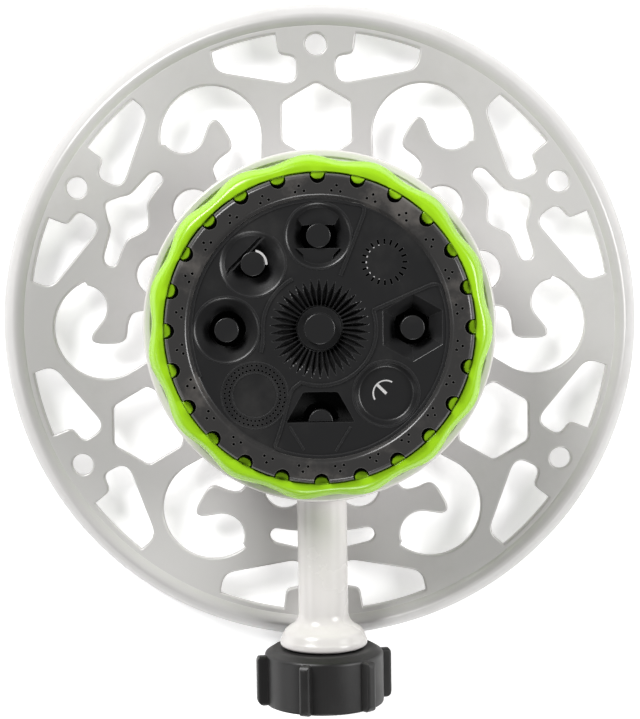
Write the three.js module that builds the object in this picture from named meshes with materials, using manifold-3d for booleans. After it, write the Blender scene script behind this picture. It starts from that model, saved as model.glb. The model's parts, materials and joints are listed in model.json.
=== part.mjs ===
// A turret lawn sprinkler: a turning nozzle dial on a plastic housing, on a round openwork cast base.
// Millimetres, +Z up. Water comes in along -Y. Every piece is a closed solid mesh of its own.

import * as THREE from "three";
import { mergeVertices } from "three/addons/utils/BufferGeometryUtils.js";
import Module from "manifold-3d";

const wasm = await Module();
wasm.setup();

// ---------------------------------------------------------------- driving dimensions

// Fits
const GAP = 0.3; // between two pieces that touch
const RUNNING_GAP = 0.15; // round the dial's pivot

// Cast base
const RING_RADIUS = 100; // the foot of the rim, and the whole base
const RIM_HEIGHT = 9.5;
const RIM_WIDTH = 8; // from the foot's outer edge in to the web
const RIM_WALL = 2.8;
const WEB_TOP = 8.5;
const WEB_THICKNESS = 3;
const MOUNT_HOLE_RADIUS = 2.75;

// Housing
const HOUSING_RADIUS = 52.5; // at its widest, just under the dial
const HOUSING_HEIGHT = 26.5; // from the web to the rounded top edge
const HOUSING_FOOT_INSET = 5.5; // the foot is this much smaller than the widest part
const HOUSING_WALL = 2.8;
const DECK_THICKNESS = 3;
const SPOKE_WIDTH = 7;
const DUCT_WALL = 2.5; // round the inlet's socket and the port's pocket

// Inlet
const TUBE_RADIUS = 7.6;
const TUBE_WALL = 2;
const COLLAR_RADIUS = 13.3;
const COLLAR_CLEARANCE = 0.7; // between the collar and the crest of the rim below it
const COLLAR_SETBACK = 1.8; // the collar's end face lies this far inside the rim's foot
const COLLAR_LENGTH = 9;

// Hose nut
const NUT_RADIUS = 18.2;
const NUT_WING_HEIGHT = 2.9;
const NUT_WING_WIDTH = 3.2;
const NUT_WINGS = 6;
const NUT_LENGTH = 17;
const NUT_LIP = 3;
const NUT_TURN = 17; // degrees from the top to the nearest wing
const THREAD_RADIUS = 12.9; // the crest of the 3/4 inch garden hose thread
const WASHER_THICKNESS = 3;

// Dial
const DIAL_RADIUS = 44.5;
const DIAL_HEIGHT = 18; // from the underside of the dial to the top of its edge band
const BAND_WIDTH = 6.3;
const BAND_STEP = 1.5; // the face lies this much below the edge band
const FACE_THICKNESS = 2.5;
const NOTCHES = 24;
const NOTCH_DEPTH = 3.3;
const NOTCH_WIDTH = 4.6;
const GRIP_WIDTH = 4.8; // how far the grip ring stands out from its bore
const GRIP_LOBES = 15;
const GRIP_WAVE = 1.8; // from the crest of a lobe to the valley
const OUTLETS = 8;
const OUTLET_RADIUS = 9.1;
const OUTLET_MARGIN = 2.4; // from an outlet's mouth out to the edge band
const WELL_RADIUS = 5.4;
const PIN_RADIUS = 3.5;
const STARBURST_RADIUS = 14.4;
const CENTRE_WELL_RADIUS = 6.8;
const LEDGE_OFFSET = -0.2; // the straight edge of the south outlet's ledge, from the outlet's centre
const LEDGE_RISE = 2.5; // from the bottom of the outlet cups up to the underside of that ledge

// Pivot, port and detent
const PIVOT_RADIUS = 6;
const PIVOT_HEIGHT = 8.9; // above the deck
const DIAL_LIFT = 1.5; // the dial's underside above the deck
const PORT_RADIUS = 3.8; // the water's way from the tube up to the port
const SEAL_RADIUS = 7.6;
const SEAL_HEIGHT = 4.5;
const PORT_SPRING_HEIGHT = 2.6;
const DETENT_INSET = 2.5; // from the deck's inner edge out to the plunger
const DETENT_ANGLE = 60;
const DETENT_RADIUS = 2;
const DETENT_HEIGHT = 7.7;
const DETENT_SPRING_HEIGHT = 4.4;

// Screws
const BASE_SCREW_INSET = 7; // from the edge of the housing's foot in to the screws
const HUB_LAND = 7; // from the screws in to the edge of the hub's bore
const BASE_SCREW_RADIUS = 1.8;
const BASE_SCREW_GRIP = 10; // thread length in the housing
const DIAL_SCREW_OFFSET = 6.8; // from the circle of outlets out to the screws between them
const DIAL_SCREW_RADIUS = 1.2;
const HEAD_RATIO = 2.1; // head radius over shank radius

// ---------------------------------------------------------------- derived dimensions

const RIM_INNER_RADIUS = RING_RADIUS - RIM_WIDTH;
const OPENING_LIMIT = RIM_INNER_RADIUS - 1.4; // openings stop here, just inside the rim
const HOUSING_BOTTOM = WEB_TOP + GAP;
const HOUSING_TOP = WEB_TOP + HOUSING_HEIGHT + GAP;
const HOUSING_FOOT_RADIUS = HOUSING_RADIUS - HOUSING_FOOT_INSET;
const DECK_TOP = HOUSING_TOP - 0.8;
const DECK_BOTTOM = DECK_TOP - DECK_THICKNESS;
const BASE_SCREW_CIRCLE = HOUSING_FOOT_RADIUS - BASE_SCREW_INSET;
const HUB_BORE_RADIUS = BASE_SCREW_CIRCLE - HUB_LAND;
const BAND_INNER_RADIUS = DIAL_RADIUS - BAND_WIDTH;
const OUTLET_CIRCLE = BAND_INNER_RADIUS - OUTLET_MARGIN - OUTLET_RADIUS;
const DECK_INNER_RADIUS = OUTLET_CIRCLE + OUTLET_RADIUS + 0.2;
const DETENT_CIRCLE = DECK_INNER_RADIUS + DETENT_INSET;
const DIAL_SCREW_CIRCLE = OUTLET_CIRCLE + DIAL_SCREW_OFFSET;
const TUBE_REACH = RING_RADIUS - COLLAR_SETBACK;
const TUBE_Z = RIM_HEIGHT + COLLAR_CLEARANCE + COLLAR_RADIUS;
const SOCKET_RADIUS = TUBE_RADIUS + GAP;
const DUCT_RADIUS = SOCKET_RADIUS + DUCT_WALL;
const BORE_RADIUS = TUBE_RADIUS - TUBE_WALL;
const TAIL_RADIUS = BORE_RADIUS + 1.2;
const BEAD_RADIUS = TAIL_RADIUS + 2.8;
const NUT_START = TUBE_REACH + GAP;
const NUT_END = NUT_START + NUT_LENGTH;
const BEAD_START = NUT_START + NUT_LIP + GAP;
const TAIL_END = BEAD_START + 2;
const WASHER_START = TAIL_END + GAP;
const DIAL_BOTTOM = DECK_TOP + DIAL_LIFT;
const DIAL_TOP = DIAL_BOTTOM + DIAL_HEIGHT;
const FACE_TOP = DIAL_TOP - BAND_STEP;
const FACE_BOTTOM = FACE_TOP - FACE_THICKNESS;
const BAND_BOTTOM = DIAL_TOP - 5.5;
const FLOOR_THICKNESS = 2.2; // the flat bottom plate of the dial body
const CUP_RADIUS = OUTLET_RADIUS + 0.9;
const CUP_BOTTOM = DIAL_BOTTOM + 9.4;
const GASKET_THICKNESS = 0.8;
const SOCKET_TOP = CUP_BOTTOM - GASKET_THICKNESS - 2 * GAP;
const GRIP_BORE = DIAL_RADIUS + 0.4;
const GRIP_RADIUS = GRIP_BORE + GRIP_WIDTH;
const PIVOT_TOP = DECK_TOP + PIVOT_HEIGHT;
const HUB_INNER_RADIUS = PIVOT_RADIUS + RUNNING_GAP;
const HUB_RADIUS = HUB_INNER_RADIUS + 2.4;
const PIVOT_WASHER_TOP = PIVOT_TOP + GAP + 1;
const PIVOT_SCREW_TOP = PIVOT_WASHER_TOP + GAP + 1.6;
const CENTRE_FLOOR_BOTTOM = PIVOT_SCREW_TOP + GAP + 0.5;
const CENTRE_FLOOR_TOP = CENTRE_FLOOR_BOTTOM + 1.4;
const PORT_Y = -OUTLET_CIRCLE;
const SEAL_TOP = DIAL_BOTTOM - GAP;
const SEAL_BOTTOM = SEAL_TOP - SEAL_HEIGHT;
const POCKET_RADIUS = SEAL_RADIUS + GAP;
const POCKET_BOTTOM = SEAL_BOTTOM - PORT_SPRING_HEIGHT - 2 * GAP;
const SOCKET_END = OUTLET_CIRCLE + POCKET_RADIUS + 2.4;
const DETENT_TIP = DIAL_BOTTOM - GAP; // between two dimples, where the dial holds the plunger down
const DETENT_BOTTOM = DETENT_TIP - DETENT_HEIGHT;
const DETENT_POCKET_BOTTOM = DETENT_BOTTOM - DETENT_SPRING_HEIGHT - 2 * GAP;
const RING_CENTRE_Y = (NUT_END - RING_RADIUS) / 2; // puts the origin in the middle of the whole sprinkler

const FINE = 48; // sides of the rim
const ROUND = 32; // sides of the housing and the dial
const MEDIUM = 16;
const OUTLET_SIDES = 12;
const SMALL = 8;

// ---------------------------------------------------------------- geometry helpers

const radians = THREE.MathUtils.degToRad;
const points = (list) => list.map(([x, y]) => new THREE.Vector2(x, y));

// A closed three.js geometry as a solid that can be joined and cut.
function solidOf(geometry) {
  const bare = geometry.clone();
  bare.deleteAttribute("normal");
  bare.deleteAttribute("uv");
  const merged = mergeVertices(bare, 1e-4);
  return new wasm.Manifold(
    new wasm.Mesh({
      numProp: 3,
      vertProperties: merged.attributes.position.array,
      triVerts: new Uint32Array(merged.index.array),
    }),
  );
}

function geometryOf(solid) {
  const mesh = solid.getMesh();
  const geometry = new THREE.BufferGeometry();
  geometry.setAttribute("position", new THREE.BufferAttribute(mesh.vertProperties, 3));
  geometry.setIndex(new THREE.BufferAttribute(mesh.triVerts, 1));
  geometry.computeVertexNormals();
  return geometry;
}

const join = (...geometries) => geometries.map(solidOf).reduce((whole, next) => whole.add(next));
const cut = (solid, ...geometries) =>
  geometries.reduce((rest, tool) => rest.subtract(solidOf(tool)), solid);

// A solid of revolution about Z. The profile is a list of [radius, height], closed on itself or on the axis.
function turned(profile, sides = MEDIUM) {
  const onAxis = profile[0][0] === 0 && profile.at(-1)[0] === 0;
  const outline = points(onAxis ? profile : [...profile, profile[0]]);
  if (THREE.ShapeUtils.area(outline) < 0) outline.reverse();
  return new THREE.LatheGeometry(outline, sides).rotateX(Math.PI / 2);
}

// The same about the inlet's axis, with each height measured outwards from the turret's centre.
const turnedAlongInlet = (profile, sides = MEDIUM) =>
  turned(profile, sides).rotateX(Math.PI / 2).translate(0, 0, TUBE_Z);

function cylinder(radius, low, high, sides = MEDIUM) {
  return turned([[0, low], [radius, low], [radius, high], [0, high]], sides);
}

function ring(inner, outer, low, high, sides = MEDIUM) {
  return turned([[inner, low], [outer, low], [outer, high], [inner, high]], sides);
}

// An upright prism on a closed outline.
function prism(outline, low, high) {
  const shape = new THREE.Shape(outline);
  const geometry = new THREE.ExtrudeGeometry(shape, { depth: high - low, bevelEnabled: false });
  return geometry.translate(0, 0, low);
}

const box = (x0, x1, y0, y1, z0, z1) =>
  new THREE.BoxGeometry(x1 - x0, y1 - y0, z1 - z0).translate(
    (x0 + x1) / 2,
    (y0 + y1) / 2,
    (z0 + z1) / 2,
  );

// Moves a geometry out to a radius and turns it to an angle in degrees from +X.
const placed = (geometry, radius, angle) =>
  geometry.rotateZ(radians(angle)).translate(
    radius * Math.cos(radians(angle)),
    radius * Math.sin(radians(angle)),
    0,
  );

const evenAngles = (count, first = 0) =>
  Array.from({ length: count }, (_, i) => first + (360 / count) * i);

// A closed outline from corners [x, y, reach], each rounded from its reach along its two sides.
function rounded(corners, steps = 2) {
  return corners.flatMap(([x, y, reach], i) => {
    const corner = new THREE.Vector2(x, y);
    if (!reach) return [corner];
    const toward = ([tx, ty]) => {
      const way = new THREE.Vector2(tx, ty).sub(corner);
      return way.setLength(Math.min(reach, way.length() / 2)).add(corner);
    };
    const start = toward(corners.at(i - 1));
    const end = toward(corners[(i + 1) % corners.length]);
    return new THREE.QuadraticBezierCurve(start, corner, end).getPoints(steps);
  });
}

function arc(x, y, radius, from, to, steps) {
  return Array.from({ length: steps + 1 }, (_, i) => {
    const angle = radians(from + ((to - from) * i) / steps);
    return new THREE.Vector2(x + radius * Math.cos(angle), y + radius * Math.sin(angle));
  });
}

const circle = (x, y, radius, sides = SMALL) =>
  arc(x, y, radius, 0, 360 - 360 / sides, sides - 1);

// A round wire spring on Z, standing between two heights.
class Helix extends THREE.Curve {
  constructor(radius, low, high, turns) {
    super();
    Object.assign(this, { radius, low, high, turns });
  }
  getPoint(t, target = new THREE.Vector3()) {
    const angle = 2 * Math.PI * this.turns * t;
    const height = this.low + (this.high - this.low) * t;
    return target.set(this.radius * Math.cos(angle), this.radius * Math.sin(angle), height);
  }
}

function spring(radius, wire, low, high, turns) {
  const path = new Helix(radius, low + 1.4 * wire, high - 1.4 * wire, turns);
  const section = new THREE.Shape(circle(0, 0, wire, 6));
  return new THREE.ExtrudeGeometry(section, {
    steps: turns * 12,
    extrudePath: path,
    bevelEnabled: false,
  });
}

// ---------------------------------------------------------------- cast base

// The openwork is drawn for a web from DRAWN_HUB to DRAWN_LIMIT, with the axis that an opening belongs to
// pointing along +Y, and is stretched radially onto the real web.
const DRAWN_HUB = 46.5;
const DRAWN_LIMIT = 90.6;
const WEB_HUB_RADIUS = HOUSING_FOOT_RADIUS - 0.5;
const HEX_AXES = [90, 210, 330];
const BLOB_AXES = [30, 150, 270];
const TAB_AXES = [...HEX_AXES, ...BLOB_AXES];
const TAB_HOLE_DRAWN = 86.6;

const stretched = (radius) =>
  WEB_HUB_RADIUS +
  ((radius - DRAWN_HUB) * (OPENING_LIMIT - WEB_HUB_RADIUS)) / (DRAWN_LIMIT - DRAWN_HUB);

function onWeb(outline, axis, side = 1) {
  return outline.map((point) => {
    const angle = radians(axis) + Math.atan2(point.y, side * point.x) - Math.PI / 2;
    const radius = stretched(point.length());
    return new THREE.Vector2(radius * Math.cos(angle), radius * Math.sin(angle));
  });
}

// The long leaf beside each tab, running out under the rim.
const leaf = () =>
  rounded([
    [13.4, 96, 0],
    [11.7, 83.6, 1.8],
    [6, 82.8, 2.6],
    [6.4, 74.2, 4.4],
    [31.2, 78.5, 3.4],
    [34.6, 96, 0],
  ]);

// A round window with a hooked scroll of metal curling up into it.
function scroll() {
  const hook = new THREE.SplineCurve(
    points([
      [34.5, 60.2],
      [33.4, 62.7],
      [31.8, 63.8],
      [30.3, 63],
      [28.8, 61],
      [26.8, 57.2],
      [27, 54.4],
      [30.5, 51.5],
      [32.4, 48.6],
      [31.4, 45],
    ]),
  );
  return [
    new THREE.Vector2(17.6, 45),
    new THREE.Vector2(17.4, 55),
    ...arc(33, 58.5, 15.7, 178, -8, 10),
    ...arc(41.8, 60.5, 6.9, -38, -160, 4),
    ...hook.getPoints(11),
  ];
}

// A hexagon with one corner pointing outwards along its axis.
const hexagon = () => rounded(arc(0, 62.65, 12.35, 30, 330, 5).map(({ x, y }) => [x, y, 1.2]), 1);

// The blob between two scrolls, with an arm to each side.
function blob() {
  const half = [
    [0, 76.3],
    [3.5, 73.9],
    [6.2, 71.2],
    [11, 69.8],
    [15, 68.7],
    [16.4, 66.6],
    [15, 64.5],
    [10.5, 65],
    [6.3, 65.1],
    [2.9, 62.9],
    [0, 61.6],
  ];
  const other = half.slice(1, -1).reverse().map(([x, y]) => [-x, y]);
  const nodes = [...half, ...other].map(([x, y]) => new THREE.Vector3(x, y, 0));
  const curve = new THREE.CatmullRomCurve3(nodes, true);
  return curve.getPoints(24).slice(0, -1).map((p) => new THREE.Vector2(p.x, p.y));
}

const sideHole = () => circle(11.7, 51.6, 6.3);

function basePlate() {
  const under = WEB_TOP - WEB_THICKNESS;
  const crest = RING_RADIUS - 4.6;
  const rim = turned(
    [
      [RING_RADIUS - RIM_WALL, 0],
      [RING_RADIUS, 0],
      [RING_RADIUS - 0.5, 2.6],
      [RING_RADIUS - 2.3, 7],
      [crest, RIM_HEIGHT],
      [crest - 1.6, RIM_HEIGHT - 0.1],
      [RIM_INNER_RADIUS, WEB_TOP],
      [RIM_INNER_RADIUS, under],
      [crest - RIM_WALL / 2, under + 0.6],
      [RING_RADIUS - RIM_WALL - 1, 4.2],
    ],
    FINE,
  );
  const web = ring(HUB_BORE_RADIUS, RIM_INNER_RADIUS + 0.8, under, WEB_TOP, FINE);
  const tool = (outline) => prism(outline, under - 5, WEB_TOP + 5);
  const openings = [
    ...TAB_AXES.flatMap((axis) => [onWeb(leaf(), axis), onWeb(leaf(), axis, -1)]),
    ...HEX_AXES.flatMap((axis) => [onWeb(scroll(), axis), onWeb(scroll(), axis, -1)]),
    ...HEX_AXES.map((axis) => onWeb(hexagon(), axis)),
    ...BLOB_AXES.map((axis) => onWeb(blob(), axis)),
    ...BLOB_AXES.flatMap((axis) => [onWeb(sideHole(), axis), onWeb(sideHole(), axis, -1)]),
  ];
  const allowed = solidOf(ring(WEB_HUB_RADIUS, OPENING_LIMIT, under - 5, WEB_TOP + 5, FINE));
  const pierced = join(...openings.map(tool)).intersect(allowed);
  const holes = [
    ...TAB_AXES.map((axis) =>
      placed(cylinder(MOUNT_HOLE_RADIUS, 0, RIM_HEIGHT + 1, SMALL), stretched(TAB_HOLE_DRAWN), axis),
    ),
    ...HEX_AXES.map((axis) =>
      placed(cylinder(BASE_SCREW_RADIUS + GAP, 0, WEB_TOP + 1, SMALL), BASE_SCREW_CIRCLE, axis),
    ),
  ];
  return cut(join(rim, web).subtract(pierced), ...holes);
}

// ---------------------------------------------------------------- housing

function turretHousing() {
  const rise = HOUSING_TOP - HOUSING_BOTTOM;
  const outer = [
    [HOUSING_FOOT_RADIUS, HOUSING_BOTTOM],
    [HOUSING_FOOT_RADIUS + 0.1 * HOUSING_FOOT_INSET, HOUSING_BOTTOM + 0.12 * rise],
    [HOUSING_FOOT_RADIUS + 0.4 * HOUSING_FOOT_INSET, HOUSING_BOTTOM + 0.42 * rise],
    [HOUSING_FOOT_RADIUS + 0.78 * HOUSING_FOOT_INSET, HOUSING_BOTTOM + 0.69 * rise],
    [HOUSING_RADIUS, HOUSING_TOP - 3.2],
    [HOUSING_RADIUS, HOUSING_TOP - 1.1],
    [HOUSING_RADIUS - 0.9, HOUSING_TOP],
  ];
  const inner = outer
    .slice(0, 4)
    .reverse()
    .map(([radius, height]) => [radius - HOUSING_WALL, height]);
  const shell = turned(
    [
      ...outer,
      [HOUSING_RADIUS - 2.3, HOUSING_TOP],
      [HOUSING_RADIUS - 2.3, DECK_TOP],
      [DECK_INNER_RADIUS, DECK_TOP],
      [DECK_INNER_RADIUS, DECK_BOTTOM],
      [HOUSING_RADIUS - HOUSING_WALL - 0.4, DECK_BOTTOM],
      ...inner,
    ],
    ROUND,
  );
  const halfSpoke = SPOKE_WIDTH / 2;
  const spokes = evenAngles(4).map((angle) =>
    box(PIVOT_RADIUS - 2, DECK_INNER_RADIUS + 1, -halfSpoke, halfSpoke, DECK_BOTTOM - 1.5, DECK_TOP)
      .rotateZ(radians(angle)),
  );
  const pivot = join(
    cylinder(PIVOT_RADIUS + 3, DECK_BOTTOM - 8, DECK_TOP, MEDIUM),
    cylinder(PIVOT_RADIUS, DECK_TOP - 1, PIVOT_TOP, ROUND),
  );
  const duct = turnedAlongInlet(
    [[0, OUTLET_CIRCLE - DUCT_RADIUS + 2], [DUCT_RADIUS, OUTLET_CIRCLE - DUCT_RADIUS + 2],
      [DUCT_RADIUS, HOUSING_FOOT_RADIUS - 1], [0, HOUSING_FOOT_RADIUS - 1]],
  );
  const riser = cylinder(POCKET_RADIUS + DUCT_WALL, TUBE_Z, DECK_TOP).translate(0, PORT_Y, 0);
  const screwHoleTop = HOUSING_BOTTOM + BASE_SCREW_GRIP + GAP;
  const bossRadius = BASE_SCREW_INSET - HOUSING_WALL + 1.4; // reaches into the wall
  const bosses = HEX_AXES.map((axis) =>
    placed(cylinder(bossRadius, HOUSING_BOTTOM, screwHoleTop + 1.7, SMALL), BASE_SCREW_CIRCLE, axis),
  );
  const detentBoss = placed(
    cylinder(DETENT_RADIUS + 2.2, DETENT_POCKET_BOTTOM - 1.8, DECK_TOP, SMALL),
    DETENT_CIRCLE,
    DETENT_ANGLE,
  );
  const body = join(shell, ...spokes, duct, riser, ...bosses, detentBoss).add(pivot);

  const waterWay = (radius, from, to) =>
    turnedAlongInlet([[0, from], [radius, from], [radius, to], [0, to]]);
  return cut(
    body,
    waterWay(SOCKET_RADIUS, SOCKET_END, HOUSING_RADIUS + 5),
    waterWay(PORT_RADIUS, OUTLET_CIRCLE - PORT_RADIUS, SOCKET_END + 1),
    cylinder(POCKET_RADIUS, POCKET_BOTTOM, DECK_TOP + 2).translate(0, PORT_Y, 0),
    cylinder(PORT_RADIUS, TUBE_Z, POCKET_BOTTOM + 1, MEDIUM).translate(0, PORT_Y, 0),
    cylinder(BASE_SCREW_RADIUS + GAP, DECK_BOTTOM - 6, PIVOT_TOP + 2, SMALL),
    placed(
      cylinder(DETENT_RADIUS + GAP, DETENT_POCKET_BOTTOM, DECK_TOP + 2, SMALL),
      DETENT_CIRCLE,
      DETENT_ANGLE,
    ),
    ...HEX_AXES.map((axis) =>
      placed(
        cylinder(BASE_SCREW_RADIUS + GAP, HOUSING_BOTTOM - 1, screwHoleTop, SMALL),
        BASE_SCREW_CIRCLE,
        axis,
      ),
    ),
  );
}

// ---------------------------------------------------------------- inlet tube and hose nut

function inletTube() {
  const bell = TUBE_REACH - COLLAR_LENGTH;
  return solidOf(
    turnedAlongInlet([
      [BORE_RADIUS, SOCKET_END + GAP],
      [TUBE_RADIUS, SOCKET_END + GAP],
      [TUBE_RADIUS, bell],
      [TUBE_RADIUS + 1.4, bell + 0.25 * COLLAR_LENGTH],
      [COLLAR_RADIUS - 1.3, bell + 0.42 * COLLAR_LENGTH],
      [COLLAR_RADIUS - 0.4, bell + 0.7 * COLLAR_LENGTH],
      [COLLAR_RADIUS, TUBE_REACH - 2],
      [COLLAR_RADIUS - 0.2, TUBE_REACH - 0.5],
      [COLLAR_RADIUS - 0.9, TUBE_REACH],
      [TAIL_RADIUS, TUBE_REACH],
      [TAIL_RADIUS, BEAD_START],
      [BEAD_RADIUS, BEAD_START],
      [BEAD_RADIUS, TAIL_END],
      [BORE_RADIUS, TAIL_END],
    ]),
  );
}

function hoseNut() {
  const wingRadius = NUT_RADIUS + NUT_WING_HEIGHT;
  const corner = 2.6; // rounds the ends of the wings
  const envelope = turnedAlongInlet(
    [
      [0, NUT_START],
      [NUT_RADIUS - 2.6, NUT_START],
      [NUT_RADIUS - 0.4, NUT_START + 1.6],
      [wingRadius - corner, NUT_START + 1.6],
      [wingRadius - 0.7, NUT_START + 2.4],
      [wingRadius, NUT_START + 1.6 + corner],
      [wingRadius, NUT_END - corner],
      [wingRadius - 0.7, NUT_END - 0.8],
      [wingRadius - corner, NUT_END],
      [0, NUT_END],
    ],
    ROUND,
  );
  const barrel = turnedAlongInlet(
    [[0, NUT_START - 1], [NUT_RADIUS, NUT_START - 1], [NUT_RADIUS, NUT_END + 1], [0, NUT_END + 1]],
    ROUND,
  );
  const half = NUT_WING_WIDTH / 2;
  const wings = evenAngles(NUT_WINGS, NUT_TURN).map((angle) =>
    box(-half, half, -NUT_END - 1, -NUT_START + 1, NUT_RADIUS - 2, wingRadius + 1)
      .rotateY(radians(angle))
      .translate(0, 0, TUBE_Z),
  );
  const bore = turnedAlongInlet([
    [0, NUT_START - 1],
    [TAIL_RADIUS + GAP, NUT_START - 1],
    [TAIL_RADIUS + GAP, NUT_START + NUT_LIP],
    [THREAD_RADIUS, NUT_START + NUT_LIP],
    [THREAD_RADIUS, NUT_END - 1.2],
    [THREAD_RADIUS + 0.9, NUT_END + 0.1],
    [THREAD_RADIUS + 0.9, NUT_END + 1],
    [0, NUT_END + 1],
  ]);
  return cut(join(barrel, ...wings).intersect(solidOf(envelope)), bore);
}

function hoseWasher() {
  return solidOf(
    turnedAlongInlet([
      [BORE_RADIUS + 2, WASHER_START],
      [THREAD_RADIUS - GAP, WASHER_START],
      [THREAD_RADIUS - GAP, WASHER_START + WASHER_THICKNESS],
      [BORE_RADIUS + 2, WASHER_START + WASHER_THICKNESS],
    ]),
  );
}

// ---------------------------------------------------------------- dial

const OUTLET = {
  east: 0,
  northEast: 45,
  north: 90,
  northWest: 135,
  west: 180,
  southWest: 225,
  south: 270,
  southEast: 315,
};

// Moves a tool drawn round the origin onto an outlet without turning it.
const onOutlet = (geometry, angle) =>
  geometry.translate(
    OUTLET_CIRCLE * Math.cos(radians(angle)),
    OUTLET_CIRCLE * Math.sin(radians(angle)),
    0,
  );

// A recess that narrows downwards from its mouth to a well, and opens through the plate's underside.
const funnel = (mouth, well, sides = OUTLET_SIDES) =>
  turned(
    [
      [0, CUP_BOTTOM - 1],
      [well, CUP_BOTTOM - 1],
      [well, FACE_TOP - 4.6],
      [mouth, FACE_TOP],
      [mouth, FACE_TOP + 2],
      [0, FACE_TOP + 2],
    ],
    sides,
  );

// The notch round the edge, open outwards.
function notch(depth, width, low, high) {
  const floor = DIAL_RADIUS - depth;
  const half = width / 2;
  return prism(
    rounded([
      [DIAL_RADIUS + 2, -half, 0],
      [DIAL_RADIUS + 2, half, 0],
      [floor, half, 1.6],
      [floor, -half, 1.6],
    ], 1),
    low,
    high,
  );
}

function dialPlate() {
  const face = turned(
    [
      [0, FACE_BOTTOM],
      [BAND_INNER_RADIUS - 1, FACE_BOTTOM],
      [BAND_INNER_RADIUS - 1, BAND_BOTTOM],
      [DIAL_RADIUS, BAND_BOTTOM],
      [DIAL_RADIUS, DIAL_TOP - 1.1],
      [DIAL_RADIUS - 1, DIAL_TOP],
      [BAND_INNER_RADIUS, DIAL_TOP],
      [BAND_INNER_RADIUS - 1, FACE_TOP],
      [0, FACE_TOP],
    ],
    ROUND,
  );
  const cups = evenAngles(OUTLETS).map((angle) =>
    onOutlet(cylinder(CUP_RADIUS, CUP_BOTTOM, FACE_TOP - 1, OUTLET_SIDES), angle),
  );
  const screwBosses = evenAngles(4, 22.5).map((angle) =>
    placed(
      cylinder(DIAL_SCREW_RADIUS + 1.8, DIAL_BOTTOM + FLOOR_THICKNESS + GAP, FACE_TOP - 1, SMALL),
      DIAL_SCREW_CIRCLE,
      angle,
    ),
  );
  const centre = cylinder(STARBURST_RADIUS + 0.6, CENTRE_FLOOR_BOTTOM, FACE_TOP);
  const body = join(face, ...cups, ...screwBosses, centre);

  const starburst = turned([
    [0, CENTRE_FLOOR_TOP],
    [CENTRE_WELL_RADIUS, CENTRE_FLOOR_TOP],
    [CENTRE_WELL_RADIUS, FACE_TOP - 2.6],
    [STARBURST_RADIUS, FACE_TOP],
    [STARBURST_RADIUS, FACE_TOP + 2],
    [0, FACE_TOP + 2],
  ]);
  const trapezoid = prism(
    points([[-10, LEDGE_OFFSET], [9.8, LEDGE_OFFSET], [5, 8.6], [-5, 8.6]]),
    CUP_BOTTOM + 1.5,
    FACE_TOP + 2,
  );
  const port = () => cylinder(WELL_RADIUS - 0.2, CUP_BOTTOM - 1, CUP_BOTTOM + LEDGE_RISE);
  const slots = evenAngles(20).map((angle) =>
    box(5, 6.7, -0.3, 0.3, CUP_BOTTOM + 1, FACE_TOP + 2).rotateZ(radians(angle)),
  );
  const jets = evenAngles(20).map((angle) =>
    placed(cylinder(0.5, CUP_BOTTOM + 1, FACE_TOP + 2, 5), 8, angle),
  );
  const manifoldRoom = (radius) => cylinder(radius, CUP_BOTTOM - 1, FACE_TOP - 2);
  const screwHoles = evenAngles(4, 22.5).map((angle) =>
    placed(
      cylinder(DIAL_SCREW_RADIUS + GAP, DIAL_BOTTOM, FACE_TOP - 2, SMALL),
      DIAL_SCREW_CIRCLE,
      angle,
    ),
  );
  return cut(
    body,
    starburst,
    cylinder(CENTRE_WELL_RADIUS / 2, CENTRE_FLOOR_BOTTOM - 1, CENTRE_FLOOR_TOP + 1, SMALL),
    onOutlet(funnel(OUTLET_RADIUS, WELL_RADIUS), OUTLET.north),
    onOutlet(funnel(OUTLET_RADIUS, WELL_RADIUS), OUTLET.west),
    onOutlet(funnel(OUTLET_RADIUS, PIN_RADIUS + 0.6), OUTLET.northWest),
    onOutlet(funnel(OUTLET_RADIUS + 0.7, WELL_RADIUS, 6).rotateZ(Math.PI / 6), OUTLET.east),
    onOutlet(ring(0.01, OUTLET_RADIUS - 1.2, FACE_TOP - 1.6, FACE_TOP + 2), OUTLET.southEast),
    onOutlet(
      box(-0.4, 0.4, -3.2, 0.8, CUP_BOTTOM - 1, FACE_TOP).rotateZ(radians(45)),
      OUTLET.southEast,
    ),
    onOutlet(manifoldRoom(WELL_RADIUS), OUTLET.southEast),
    onOutlet(trapezoid, OUTLET.south),
    onOutlet(port(), OUTLET.south),
    onOutlet(manifoldRoom(7.6), OUTLET.northEast),
    ...slots.map((tool) => onOutlet(tool, OUTLET.northEast)),
    onOutlet(manifoldRoom(8.8), OUTLET.southWest),
    ...jets.map((tool) => onOutlet(tool, OUTLET.southWest)),
    ...evenAngles(NOTCHES).map((angle) =>
      notch(NOTCH_DEPTH, NOTCH_WIDTH, BAND_BOTTOM - 1, DIAL_TOP + 1).rotateZ(radians(angle)),
    ),
    ...screwHoles,
  );
}

const PIN_OUTLETS = [OUTLET.north, OUTLET.east, OUTLET.west, OUTLET.northWest, OUTLET.south];
const FLANGE_RADIUS = DIAL_RADIUS - 0.1;
const FLANGE_TOP = BAND_BOTTOM - 2.2; // the grip ring's ledge is trapped between here and the edge band

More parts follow.
